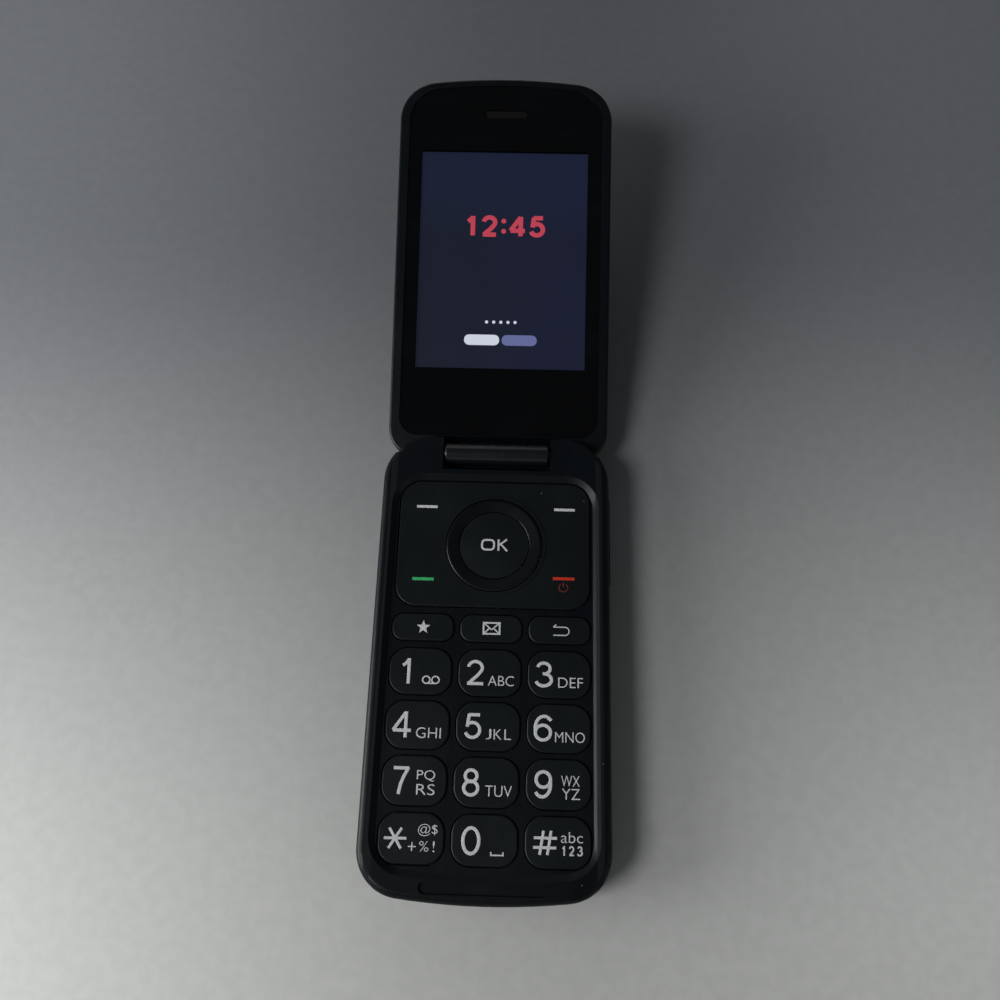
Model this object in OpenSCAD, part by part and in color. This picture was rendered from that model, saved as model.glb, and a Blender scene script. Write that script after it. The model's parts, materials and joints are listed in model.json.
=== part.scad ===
// Flip phone, opened: keypad half lying on its back, display half raised on its hinge.
// Frame: origin at the centre of the keypad half's flat back, +Y towards the display half,
// +Z out of the keys.
// Base pieces are drawn with Y measured from the hinge axis, and lid pieces with Y along the lid
// from that axis.

/* [Body] */
// Width of both halves
body_w = 54.4; // [49:0.2:62]
// Keypad half, from the hinge axis to its far end
base_l = 101.45; // [99.5:0.5:122]
// Keypad half, from its back to its rim
base_h = 11.6; // [11.2:0.2:14]
// Corner radius at the far end of both halves
corner_r = 10; // [7:0.5:13]
// Corner radius in plan at the hinge end of the keypad half
hinge_corner_r = 11; // [8:0.5:12]
// Rise of the bowed far ends beyond their corners
end_rise = 1; // [0.5:0.5:2]
// Edge radius along the back of the keypad half
back_edge_r = 3; // [1:0.2:3.6]
// Edge radius along the rim of the keypad half
rim_edge_r = 1.5; // [0.6:0.1:2]
// Thickness of the side walls
wall = 1.3; // [1:0.1:1.6]
// Height of the joint line between the front and rear housings
parting_z = 5; // [4.4:0.1:5.2]
// Visible gap at a joint line between two mouldings
parting_gap = 0.12; // [0.05:0.01:0.3]

/* [Hinge] */
// Depth of the hinge axis below the rim
axis_depth = 2; // [1.7:0.1:2.4]
// Reach of the hinge nose beyond the axis, at the rim
nose_reach = 4.05; // [3.6:0.05:4.4]
// Radius of the nose's rounded ends
nose_bend_r = 10.5; // [9.5:0.1:10.6]
// Half of the nose's straight length
nose_flat = 16.2; // [15:0.2:17]
// Angle between the two halves when fully open
open_angle = 165.9; // [150:0.5:168]
// Radius of the hinge barrel
barrel_r = 2.6; // [2.5:0.05:2.7]
// Length of the hinge barrel
barrel_l = 25.3; // [22:0.1:25.6]
// Offset of the barrel from the axis, away from the keys when open
barrel_setback = 0.5; // [0:0.1:0.5]
// Gap between each end of the barrel and the noses
barrel_end_gap = 0.45; // [0.3:0.05:1]
// Radius of the hollow that the barrel turns in
notch_r = 4.75; // [4.6:0.05:4.9]
// Radius of the hinge cartridge
cartridge_r = 1.5; // [1.4:0.05:1.6]
// Radius of the hinge pin and bush
pin_r = 1; // [0.8:0.05:1.1]
// Running clearance round the pin
pin_clear = 0.03; // [0.01:0.01:0.08]
// Reach of the pin and bush into each nose
pin_seat = 6; // [4:0.5:7]
// Clearance between the noses and the lid
nose_clear = 0.35; // [0.3:0.05:0.5]

/* [Keys] */
// Depth of the key tops below the rim
key_depth = 0.9; // [0.8:0.05:1.2]
// Height of the key tops above the floor round them
key_proud = 0.25; // [0.1:0.05:0.4]
// Width of a key
key_w = 14.16; // [12:0.1:14.4]
// Height of a number key
key_h = 10.41; // [9:0.1:10.7]
// Height of a key in the upper row
upper_key_h = 6.21; // [5.6:0.1:6.5]
// Distance between key columns
column_pitch = 15.65; // [15.2:0.05:15.8]
// Distance between number rows
row_pitch = 11.82; // [11.5:0.02:12]
// Distance from the hinge axis to the upper row of small keys
upper_row_d = 42.94; // [42.6:0.1:43.2]
// Distance from the hinge axis to the first number row
first_row_d = 53.02; // [52.9:0.05:53.4]
// Corner radius of a number key
key_r = 4; // [2:0.2:4.4]
// Corner radius of a key in the upper row
upper_key_r = 2.6; // [1.5:0.1:2.6]
// Gap round a key
key_gap = 0.25; // [0.15:0.05:0.3]
// Travel of a key
key_travel = 0.3; // [0.2:0.05:0.35]
// Thickness of the floor that the keys come through
web_t = 0.9; // [0.7:0.1:1]
// Reach of a key's flange beyond its sides
flange_reach = 0.52; // [0.4:0.02:0.55]
// Thickness of a key's flange
flange_t = 0.45; // [0.3:0.05:0.5]

/* [Key well] */
// Half-width of the well at the rim
well_hw = 24.7; // [24:0.1:25]
// Distance from the hinge axis to the well
well_top_d = 5.4; // [5.2:0.1:5.8]
// Distance from the hinge axis to the far end of the well
well_end_d = 97; // [96:0.2:98]
// Width of the well's sloping wall
well_slope = 1.4; // [0.8:0.1:1.6]
// Corner radius of the well
well_r = 8; // [6:0.5:9]

/* [Function plate and navigation keys] */
// Width of the function plate
plate_w = 45.3; // [42:0.1:45.6]
// Distance from the hinge axis to the near edge of the function plate
plate_top_d = 7.2; // [7.1:0.05:7.6]
// Distance from the hinge axis to the far edge of the function plate
plate_end_d = 38; // [37:0.1:38.2]
// Thickness of the function plate
plate_t = 1.3; // [1:0.1:1.5]
// Corner radius of the function plate
plate_r = 5; // [3:0.5:7]
// Distance from the hinge axis to the centre of the navigation ring
ring_d = 22.95; // [22:0.05:23.5]
// Outer radius of the navigation ring
ring_r = 11.2; // [10:0.1:12]
// Radius of the centre button
ok_r = 8.1; // [7:0.1:8.6]
// Gap between the ring, the plate and the centre button
ring_gap = 0.25; // [0.2:0.05:0.4]

/* [Side key] */
// Length of the volume rocker
rocker_l = 22.1; // [16:0.1:26]
// Height of the volume rocker
rocker_h = 2.4; // [1.8:0.1:2.6]
// Distance from the hinge axis to the middle of the rocker
rocker_d = 20.55; // [19:0.1:24]
// Corner radius of the rocker
rocker_r = 0.9; // [0.4:0.1:0.9]
// Height of the rocker's middle above the back
rocker_z = 6.7; // [6.4:0.1:7]
// How far the rocker stands out of the side
rocker_proud = 0.5; // [0.3:0.05:0.8]

/* [Battery] */
// Width of the battery
battery_w = 41; // [36:0.5:42]
// Length of the battery
battery_l = 57; // [48:0.5:58]
// Thickness of the battery
battery_t = 4.8; // [4:0.1:5]
// Distance from the hinge axis to the near end of the battery
battery_top_d = 36.5; // [36:0.5:38]
// Clearance round the battery
battery_clear = 0.15; // [0.1:0.05:0.3]
// Thickness of the battery cover
cover_t = 1; // [0.8:0.1:1.1]
// Width of the battery cover
cover_w = 43.5; // [43.2:0.1:44]
// Distance from the hinge axis to the near end of the battery cover
cover_top_d = 19; // [18:0.5:20]
// Gap round the battery cover
cover_gap = 0.15; // [0.1:0.05:0.2]

/* [Sockets and sound] */
// Bore radius of the headset socket
jack_r = 1.8; // [1.78:0.01:1.85]
// Distance from the hinge axis to the headset socket
jack_d = 15.5; // [15.5:0.1:16]
// Depth of the headset socket
jack_l = 13; // [12:0.5:14]
// Distance from the hinge axis to the charging socket
usb_d = 25; // [23:0.5:27]
// Width of the charging socket's shell
usb_w = 7.5; // [7:0.1:9]
// Height of the charging socket's shell
usb_h = 2.6; // [2.4:0.1:3.2]
// Depth of the charging socket's shell
usb_l = 6.6; // [6.2:0.1:7.5]
// Height of both sockets above the back
port_z = 4.4; // [4.2:0.1:4.5]
// Width of a loudspeaker slot
sound_slot_w = 0.9; // [0.6:0.1:1.2]

/* [Lid] */
// Lid, from the hinge axis to its far end
lid_l = 98.9; // [96:0.5:101]
// Thickness of the lid
lid_h = 7; // [6.8:0.1:8]
// Gap between the rims when closed
closed_gap = 0.25; // [0.2:0.05:0.5]
// Corner radius of the lid beside the hinge
lid_hinge_corner_r = 7; // [5:0.5:9]
// Edge radius round the lid's outer face
cover_edge_r = 2.8; // [1:0.1:3.2]
// Edge radius round the lid's inner face
lid_rim_edge_r = 0.6; // [0.3:0.1:1]
// Depth of the display lens below the lid's rim
lens_depth = 0.25; // [0.1:0.05:0.4]
// Half-width of the display lens
lens_hw = 24.65; // [24:0.05:25]
// Distance from the hinge axis to the near edge of the lens
lens_near_s = 5.5; // [5.3:0.1:6]
// Distance from the hinge axis to the far edge of the lens
lens_far_s = 97; // [95:0.1:97.2]
// Thickness of the display lens
lens_t = 0.8; // [0.6:0.05:1]
// Gap round a lens
lens_gap = 0.08; // [0.05:0.01:0.15]
// Width of the picture on the main display
picture_w = 42.67; // [40:0.1:43]
// Height of the picture on the main display
picture_h = 56.9; // [50:0.1:58]
// Distance from the hinge axis to the centre of the picture
picture_s = 51.13; // [50:0.1:52]
// Length of the earpiece slot
ear_slot_w = 11.1; // [8:0.1:12]
// Height of the earpiece slot
ear_slot_h = 2.1; // [1.4:0.1:2.4]
// Distance from the hinge axis to the earpiece slot
ear_slot_s = 89.45; // [88:0.1:90]
// Side of the outer display's lens
outer_lens_w = 31; // [28:0.5:36]
// Distance from the hinge axis to the outer display
outer_lens_s = 36; // [34:0.5:40]
// Distance from the hinge axis to the camera and flash
camera_s = 13.5; // [12:0.5:14.5]

/* [Hidden] */
$fn = 64;
bow_fn = 256;            // facets of a full circle of the bowed ends
cut = 1;                 // how far a cutting shape runs past the face that it cuts
corner_swell = 0.04;     // how far the corners beside a bowed end stand out, so that they cross its arc

// Heights in the base
hw = body_w / 2;
hinge_y = base_l / 2;
axis_z = base_h - axis_depth;
key_z = base_h - key_depth;
web_top = key_z - key_proud;
web_low = web_top - web_t;
flange_clear = 0.1;      // between a key's flange and the floor above it
press_clear = 0.1;       // left under a key that is pressed home
stack_gap = 0.05;        // between layers that lie on each other
mat_t = 0.6;
dome_t = 0.25;
board_t = 0.8;
ceiling_t = 0.6;         // floor of the battery bay, seen from the battery
flange_top = web_low - flange_clear;
mat_top = flange_top - flange_t - key_travel - press_clear;
dome_top = mat_top - mat_t - stack_gap;
board_top = dome_top - dome_t - stack_gap;
board_low = board_top - board_t;
ceiling_top = board_low - stack_gap;
ceiling_low = ceiling_top - ceiling_t;
floor_t = 0.8;           // rear housing over the battery cover
floor_low = cover_t + 0.1;
floor_top = floor_low + floor_t;

// Plan places in the base
nose_r = sqrt(nose_reach * nose_reach + axis_depth * axis_depth);
nose_root = 2;            // how far the noses run back into the housing
rim_inset = 0.3;         // the rim's flat lies this far inside the outline at the hinge corners
notch_hw = barrel_l / 2 + barrel_end_gap;
inner_hw = hw - wall;
inner_top_d = notch_r + wall;
bay_wall = 0.8;
bay_half = battery_w / 2 + battery_clear;
battery_end_d = battery_top_d + battery_l;
board_hw = inner_hw - 4.3;
board_top_d = inner_top_d + 0.5;
board_end_d = base_l - wall - 2.5;
mat_top_d = (plate_end_d + upper_row_d - upper_key_h / 2) / 2 + 0.3;
mat_end_d = first_row_d + 3 * row_pitch + key_h / 2;
screw_r = 0.7;
screw_head_r = 1.4;
screw_head_t = 0.9;
boss_r = 1.6;
rear_boss_r = 2.2;
screw_places = [         // one of each pair
    [inner_hw - 4.4, inner_top_d + 1.55],
    [inner_hw - 5.9, row_d(4) + key_h / 2 + flange_reach + boss_r + 0.3]
];
slide_clear = 0.15;      // side clearance of inner pieces in their seats
wall_seat = 0.3;         // clearance of inner pieces from the side walls

// Navigation ring, plate and rocker
plate_hole_r = ring_r + ring_gap;
plate_low = key_z - plate_t;
pad_gap = 0.1;           // between a pad and the piece that it carries
plate_pad_low = dome_top + 0.6;
ring_low = plate_low - 0.1;
ring_pad_low = dome_top + 0.5;
ok_low = plate_low + 0.1;
lip_h = 0.15;
lip_w = 0.7;
rocker_depth = 2.3;      // from the outer side wall to the rocker's back
rocker_gap = 0.2;
rocker_flange_t = 0.5;

// Lid
tilt = 180 - open_angle;
lid_front = -(axis_depth + closed_gap);
lid_back = lid_front - lid_h;
lid_parting = lid_front - 3.35;
lens_front = lid_front - lens_depth;
lens_far_r = 8.6;        // corner radii of the lens at its far and near ends
lens_near_r = 4.5;
lens_back = lens_front - lens_t;
display_front = lens_back - 0.2;
display_t = 1.9;
display_w = picture_w + 3;
display_h = picture_h + 6;
skin_t = 1.2;            // outer face of the lid cover
lid_board_top = lid_parting - parting_gap - 0.02;
lid_board_t = 0.7;
relief_r = sqrt(pow(lens_near_s - 0.2, 2) + pow(lid_front, 2));
neck_top = -4.2;         // top of the neck between the barrel and the lens
neck_hw = barrel_l / 2 - 0.4;
bore_clear = 0.02;       // round the cartridge in the barrel

// Distance from a bowed end's centre to its corners' centres, which lie at x = +-side
function bow_reach(side, rise) = (side * side + rise * rise) / (2 * rise);

module at_hinge() { translate([0, hinge_y, 0]) children(); }
module in_lid() { translate([0, hinge_y, axis_z]) rotate([tilt, 0, 0]) children(); }
module along_x(x0, x1, r) { translate([x0, 0, 0]) rotate([0, 90, 0]) cylinder(r = r, h = x1 - x0); }
module tier(z0, z1) { translate([0, 0, z0]) linear_extrude(z1 - z0) children(); }

// Everything between two heights
module layer(z0, z1) { tier(z0, z1) square(4 * base_l, center = true); }

// A rectangle with true arc corners
module round_rect(w, l, r) {
    square([w - 2 * r, l], center = true);
    square([w, l - 2 * r], center = true);
    for (x = [-1, 1], y = [-1, 1]) translate([x * (w / 2 - r), y * (l / 2 - r)]) circle(r);
}

// A rounded rectangle lying between two distances from the hinge axis
module field(w, d0, d1, r) { translate([0, -(d0 + d1) / 2]) round_rect(w, d1 - d0, r); }

// A section of constant height z0 to z1 with rounded outer corners, reaching $depth inwards
module edge_section(z0, z1, low, high) {
    translate([-$depth, z0 + low]) square([$depth, z1 - z0 - low - high]);
    if (low > 0) {
        translate([-$depth, z0]) square([$depth - low, low]);
        translate([-low, z0 + low]) intersection() {
            circle(low);
            translate([0, -low]) square(low);
        }
    }
    if (high > 0) {
        translate([-$depth, z1 - high]) square([$depth - high, high]);
        translate([-high, z1 - high]) intersection() {
            circle(high);
            square(high);
        }
    }
}

// Sweeps a section round a plan outline. X is outwards and Y up in the section.
// The far end, at y0, is bowed by rise, and the near end, at y1, is straight.
module edge_sweep(half, y0, y1, r0, r1, rise) {
    c0 = y0 + r0 + rise;
    c1 = y1 - r1;
    for (side = [0, 1]) mirror([side, 0, 0]) {
        if (rise == 0) translate([half - r0, c0, 0]) rotate([0, 0, -90])
            corner_revolve(r0, 90) children();
        translate([half - r1, c1, 0]) corner_revolve(r1, 90) children();
        let ($depth = max(r0, r1)) translate([half, c1, 0]) rotate([90, 0, 0])
            linear_extrude(c1 - c0) children();
    }
    let ($depth = r1) translate([r1 - half, y1, 0]) rotate([90, 0, 90])
        linear_extrude(2 * (half - r1)) children();
    if (rise > 0) bowed_end(half - r0, c0, r0, rise) children();
    else let ($depth = r0) translate([half - r0, y0, 0]) rotate([90, 0, -90])
        linear_extrude(2 * (half - r0)) children();
}

// The far end of a sweep: two corners round (+-side, c0) and the bow between them.
// The planes between bow and corners hold the corners' and the bow's centres.
module bowed_end(side, c0, r0, rise) {
    reach = bow_reach(side, rise);
    drop = reach - rise;
    for (flip = [0, 1]) mirror([flip, 0, 0]) intersection() {
        translate([side, c0, 0]) corner_revolve(r0, 360) children();
        wedge([[side, c0], [1.2 * side, c0 - 0.2 * drop], [3 * side, c0 - 0.2 * drop], [3 * side, c0]]);
    }
    intersection() {
        let ($depth = 1.3 * r0 + rise) translate([0, c0 + drop, 0])
            rotate_extrude($fn = bow_fn) translate([reach + r0, 0]) children();
        wedge([[0, c0 + drop], [1.2 * side, c0 - 0.2 * drop], [-1.2 * side, c0 - 0.2 * drop]]);
    }
}
module wedge(points) { translate([0, 0, -2 * body_w]) linear_extrude(4 * body_w) polygon(points); }

// Revolves a section about a corner's centre. The clip keeps it on one side of the axis.
module corner_revolve(r, angle) {
    let ($depth = r + cut) rotate_extrude(angle = angle) intersection() {
        translate([r, 0]) children();
        translate([0, -2 * body_w]) square(4 * body_w);
    }
}

// The flat middle between the corner centres. It reaches a little past those of a bowed end.
module outline_core(half, y0, y1, r0, r1, rise) {
    c0 = y0 + r0 + rise;
    polygon([[half - r0, c0], [half - r1, y1 - r1], [r1 - half, y1 - r1], [r0 - half, c0]]);
}

// The same outline as a flat shape
module bowed_plan(half, y0, y1, r0, r1, rise) {
    c0 = y0 + r0 + rise;
    c1 = y1 - r1;
    reach = bow_reach(half - r0, rise);
    run = (reach + r0) * (half - r0) / reach;
    translate([-half, c0]) square([2 * half, c1 - c0]);
    translate([r1 - half, c0]) square([2 * (half - r1), y1 - c0]);
    for (side = [-1, 1]) {
        translate([side * (half - r0), c0]) circle(r0 + corner_swell);
        translate([side * (half - r1), c1]) circle(r1);
    }
    intersection() {
        translate([0, c0 - rise + reach]) circle(reach + r0, $fn = bow_fn);
        translate([-run, y0 - cut]) square([2 * run, c0 - y0 + 2 * cut]);
    }
}

// A solid with that outline and rounded lower and upper edges
module slab(half, y0, y1, r0, r1, rise, z0, z1, low = 0, high = 0) {
    edge_sweep(half, y0, y1, r0, r1, rise) edge_section(z0, z1, low, high);
    tier(z0, z1) outline_core(half, y0, y1, r0, r1, rise);
}

// The keypad half's outer form, without the noses
module base_envelope() {
    intersection() {
        slab(hw, -base_l, nose_reach + rim_inset, corner_r, hinge_corner_r, end_rise,
            0, base_h, back_edge_r, rim_edge_r);
        rotate([90, 0, 90]) translate([0, 0, -hw - cut]) linear_extrude(body_w + 2 * cut) {
            translate([-base_l - cut, back_edge_r]) square([base_l + cut, base_h - back_edge_r]);
            translate([-base_l - cut, 0]) square([base_l + cut - back_edge_r, back_edge_r]);
            translate([-back_edge_r, back_edge_r]) circle(back_edge_r);
        }
    }
}

// Half-section of the hinge noses, revolved about the hinge axis: X is the radius, Y runs along the axis
module nose_section(grow) {
    for (side = [0, 1]) mirror([0, side]) {
        square([nose_r + grow, nose_flat]);
        intersection() {
            translate([nose_r - nose_bend_r, nose_flat]) circle(nose_bend_r + grow, $fn = 128);
            translate([0, nose_flat]) square([nose_r + grow + cut, nose_bend_r]);
        }
    }
}
module nose_revolve(grow) { rotate([0, 90, 0]) rotate_extrude() nose_section(grow); }

// The lid's outer form, with Y along the lid
module lid_envelope() {
    mirror([0, 1, 0]) slab(hw, -lid_l, 0, corner_r, lid_hinge_corner_r, end_rise,
        lid_back, lid_front, cover_edge_r, lid_rim_edge_r);
}

// Places of the keys: column -1, 0 or 1, and distance from the hinge axis
function row_d(row) = first_row_d + (row - 1) * row_pitch;

module key_field(column, d, h, r, grow) {
    translate([column * column_pitch, -d]) round_rect(key_w + 2 * grow, h + 2 * grow, r + grow);
}

// ---------- Base mouldings ----------

module front_housing() {
    color("#1b1f21") at_hinge() difference() {
        union() {
            difference() {
                intersection() {
                    base_envelope();
                    layer(parting_z, base_h + cut);
                }
                tier(parting_z - cut, web_low) inner_plan();
            }
            at_screws(parting_z) cylinder(r = boss_r, h = web_low - parting_z + stack_gap);
            nose();
        }
        well_cut();
        translate([0, 0, axis_z]) along_x(-notch_hw, notch_hw, notch_r);
        translate([0, 0, axis_z]) along_x(-notch_hw - pin_seat, notch_hw + pin_seat, pin_r + bore_clear);
        tier(web_low - cut, base_h) {
            key_openings();
            field(plate_w + 2 * key_gap, plate_top_d - key_gap, plate_end_d + key_gap, plate_r + key_gap);
        }
        tier(base_h - 0.6, base_h + cut) field(27, well_end_d - 0.2, well_end_d + 2.3, 1.2);
        side_openings();
        at_screws(parting_z - cut) cylinder(r = screw_r, h = screw_grip + 0.4 + cut);
    }
}

module inner_plan() { field(2 * inner_hw, inner_top_d, base_l - wall - 0.6, corner_r - wall); }

module at_screws(z) {
    for (x = [-1, 1], place = screw_places) translate([x * place[0], -place[1], z]) children();
}

module nose() {
    intersection() {
        translate([0, 0, axis_z]) nose_revolve(0);
        translate([-hw, -nose_root, parting_z])
            cube([body_w, nose_root + nose_r + cut, base_h - parting_z]);
    }
}

module well_cut() {
    edge_sweep(well_hw, -well_end_d, -well_top_d, well_r, well_r, end_rise)
        polygon([
            [-$depth, web_top], [-well_slope, web_top], [0, base_h],
            [0, base_h + cut], [-$depth, base_h + cut]
        ]);
    tier(web_top, base_h + cut)
        outline_core(well_hw, -well_end_d, -well_top_d, well_r, well_r, end_rise);
}

module key_openings() {
    for (column = [-1, 0, 1]) {
        key_field(column, upper_row_d, upper_key_h, upper_key_r, key_gap);
        for (row = [1:4]) key_field(column, row_d(row), key_h, key_r, key_gap);
    }
}

// Side openings for the rocker, with room for its flange, and for the two sockets
module side_openings() {
    translate([hw - rocker_depth - 0.5, -rocker_d - rocker_l / 2 - 0.7, rocker_z - rocker_h / 2 - 0.6])
        cube([rocker_depth - wall + 0.5, rocker_l + 1.4, rocker_h + 1.2]);
    translate([hw - wall - cut, -rocker_d, rocker_z]) rotate([90, 0, 90])
        linear_extrude(wall + 2 * cut)
            round_rect(rocker_l + 2 * rocker_gap, rocker_h + 2 * rocker_gap, rocker_h / 2);
    translate([0, -jack_d, port_z]) along_x(-hw - cut, -hw + wall + cut, jack_r + 0.6);
    translate([-hw - cut, -usb_d, port_z]) rotate([90, 0, 90])
        linear_extrude(wall + 2 * cut) round_rect(usb_w + 0.3, usb_h + 0.3, 1);
}

module rear_housing() {
    color("#202426") at_hinge() difference() {
        union() {
            difference() {
                intersection() {
                    base_envelope();
                    layer(-cut, parting_z - parting_gap);
                }
                tier(floor_top, base_h) inner_plan();
            }
            tier(floor_low, ceiling_top)
                field(battery_w + 2 * (battery_clear + bay_wall), battery_top_d - battery_clear - bay_wall,
                    battery_end_d + battery_clear + bay_wall, 2);
            at_screws(floor_low) cylinder(r = rear_boss_r, h = parting_z - parting_gap - floor_low);
        }
        tier(-cut, ceiling_low)
            field(2 * bay_half, battery_top_d - battery_clear, battery_end_d + battery_clear, 1.4);
        tier(-cut, floor_low) cover_field(cover_gap);
        tier(floor_low - cut, floor_top + cut) translate([sim_x, -sim_d])
            square([sim_w + 2 * slide_clear, sim_l + 2 * slide_clear], center = true);
        for (i = [-2:2]) translate([speaker_x + i * 2.4, -speaker_d, -cut])
            linear_extrude(floor_top + 2 * cut) round_rect(sound_slot_w, 7, sound_slot_w / 2 - 0.01);
        side_openings();
        contact_space(slide_clear);
        at_screws(-cut) {
            cylinder(r = screw_r + 0.15, h = parting_z + 2 * cut);
            cylinder(r = screw_head_r + 0.2, h = screw_seat + cut);
        }
    }
}

// Pieces between the floor and the board
sim_x = -6;
sim_d = 28;
sim_w = 24;
sim_l = 13;
speaker_x = 10;
speaker_d = 12.5;
speaker_w = 16;
speaker_l = 11;
speaker_t = 3.2;
contact_x = 12;
contact_w = 8;
screw_seat = floor_low + screw_head_t + 0.1;
screw_grip = 2.8;        // screw length in the front housing

// The battery cover's plan, open past the far end, off which it slides
module cover_field(grow) { field(cover_w + 2 * grow, cover_top_d - grow, base_l + 10, 6 + grow); }

module contact_space(grow) {
    translate([contact_x - contact_w / 2 - grow, -battery_top_d - battery_clear, floor_top + 0.4 - grow])
        cube([
            contact_w + 2 * grow, battery_clear + bay_wall + 2.2 + grow,
            ceiling_top - floor_top - 0.4 + 2 * grow
        ]);
}

module battery_cover() {
    color("#202426") at_hinge() difference() {
        intersection() {
            base_envelope();
            tier(-cut, cover_t) cover_field(0);
        }
        // Thumb recess at the near end
        translate([0, -cover_top_d, -cut]) cylinder(r = 6, h = cut + 0.5);
    }
}

module battery() {
    color("#3c4043") at_hinge()
        slab_between(battery_w, battery_top_d, battery_end_d, 1.2, ceiling_low - battery_clear - battery_t,
            ceiling_low - battery_clear, 0.6);
}

// A slab between two distances from the hinge axis, with both flat edges rounded
module slab_between(w, d0, d1, r, z0, z1, edge) {
    slab(w / 2, -d1, -d0, r, r, 0, z0, z1, edge, edge);
}

module battery_contacts() {
    color("#c9a24b") at_hinge() {
        for (i = [-1:1]) translate([contact_x + i * 2.6 - 0.6, -battery_top_d + battery_clear, 0]) {
            translate([0, -battery_clear, 3.2]) cube([1.2, 1.9, 0.4]);
            translate([0, 1.5, 3.2]) cube([1.2, 0.4, board_low - stack_gap - 3.2]);
        }
    }
}

module main_board() {
    color("#1f5a3c") at_hinge() tier(board_low, board_top)
        difference() {
            field(2 * board_hw, board_top_d, board_end_d, 2);
            at_screws(0) circle(boss_r + wall_seat);
        }
}

module shield_can() {
    color("#b8bcc0") at_hinge()
        slab_between(24, 20.5, 34, 1, board_low - stack_gap - 1.7, board_low - stack_gap, 0.3);
}

module sim_card_holder() {
    color("#9aa0a4") at_hinge() translate([sim_x, -sim_d, 0]) difference() {
        tier(floor_low + 0.05, floor_low + 1.6) square([sim_w, sim_l], center = true);
        // Card slot, open towards the battery
        translate([-sim_w / 2 + 1, -sim_l / 2 - cut, floor_low + 0.45])
            cube([sim_w - 2, sim_l - 0.5, 0.85]);
    }
}

module dome_sheet() {
    color("#c8ccce") at_hinge() {
        tier(dome_top - dome_t, dome_top) difference() {
            field(2 * board_hw, board_top_d + 0.5, board_end_d - 1, 2);
            at_screws(0) circle(boss_r + wall_seat);
        }
    }
}

module keypad_mat() {
    color("#2b2e30") at_hinge()
        tier(mat_top - mat_t, mat_top) field(2 * board_hw, mat_top_d, mat_end_d, 2);
}

module usb_shell() {
    shell_t = 0.25;
    color("#b8bcc0") at_hinge() {
        translate([-hw + 0.5, -usb_d, port_z]) rotate([90, 0, 90]) difference() {
            linear_extrude(usb_l) round_rect(usb_w, usb_h, 0.8);
            translate([0, 0, -cut]) linear_extrude(usb_l - 0.4 + cut)
                round_rect(usb_w - 2 * shell_t, usb_h - 2 * shell_t, 0.8 - shell_t);
        }
        // Legs that are soldered to the board
        leg_low = port_z + usb_h / 2 - 0.1;
        for (end = [-1, 1]) translate([usb_l - hw - 0.5, end * (usb_w / 2 - 1.1) - usb_d - 0.3, leg_low])
            cube([0.9, 0.6, board_low - stack_gap - leg_low]);
    }
}

module usb_tongue() {
    color("#26292b") at_hinge() translate([-hw + 1.3, -usb_d, port_z]) rotate([90, 0, 90])
        linear_extrude(usb_l - 1.22) square([usb_w - 2, 0.7], center = true);
}

module headset_jack() {
    body_h = 4.4;
    color("#26292b") at_hinge() translate([-hw + 0.4, -jack_d, port_z]) difference() {
        union() {
            translate([wall - 0.05, -3, -body_h / 2]) cube([jack_l - wall + 0.05, 6, body_h]);
            along_x(0, wall, jack_r + 0.45);
        }
        along_x(-cut, jack_l - 0.8, jack_r);
    }
}

module loudspeaker() {
    color("#3a3d40") at_hinge() translate([0, 0, floor_top + 0.1]) {
        tier(0, speaker_t - 0.6) translate([speaker_x, -speaker_d]) round_rect(speaker_w, speaker_l, 3);
        tier(speaker_t - 0.6, speaker_t) translate([speaker_x, -speaker_d])
            round_rect(speaker_w - 3, speaker_l - 3, 2);
    }
}

module microphone() {
    mic_x = 8;
    mic_h = 1;
    color("#b8bcc0") at_hinge() translate([mic_x, -board_end_d + 1.3, board_low - stack_gap - mic_h])
        cylinder(r = 1, h = mic_h);
}

module vibration_motor() {
    motor_place = [16.2, -27.5];
    motor_r = 3.6;
    motor_h = 2.7;
    color("#b8bcc0") at_hinge() translate([motor_place[0], motor_place[1], board_low - stack_gap - motor_h])
        cylinder(r = motor_r, h = motor_h);
}

module side_switches() {
    color("#b8bcc0") at_hinge() for (end = [-1, 1])
        translate([board_hw - 1, -rocker_d + end * rocker_l * 0.36 - 1.5, rocker_z - 1.1])
            cube([hw - rocker_depth - board_hw + 0.65, 3, board_low - stack_gap - rocker_z + 1.1]);
}

module housing_screws() {
    color("#8d9194") at_hinge() at_screws(screw_seat) {
        difference() {
            translate([0, 0, -screw_head_t]) cylinder(r = screw_head_r, h = screw_head_t);
            // Cross recess
            for (turn = [0, 90]) rotate([0, 0, turn]) translate([-0.8, -0.2, -screw_head_t - 0.1])
                cube([1.6, 0.4, 0.5]);
        }
        cylinder(r = screw_r - bore_clear, h = parting_z + screw_grip - screw_seat);
    }
}

// ---------- Keys ----------

// A key cap with a rounded top edge, and a flange that holds it under the floor
module key_cap(column, d, h, r) {
    color("#232729") at_hinge() translate([column * column_pitch, -d, 0]) {
        slab(key_w / 2, -h / 2, h / 2, r, r, 0, flange_top, key_z, 0, 0.35);
        tier(flange_top - flange_t, flange_top)
            round_rect(key_w + 2 * flange_reach, h + 2 * flange_reach, r + flange_reach);
    }
}
module number_key(column, row) { key_cap(column, row_d(row), key_h, key_r); }
module upper_key(column) { key_cap(column, upper_row_d, upper_key_h, upper_key_r); }

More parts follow.
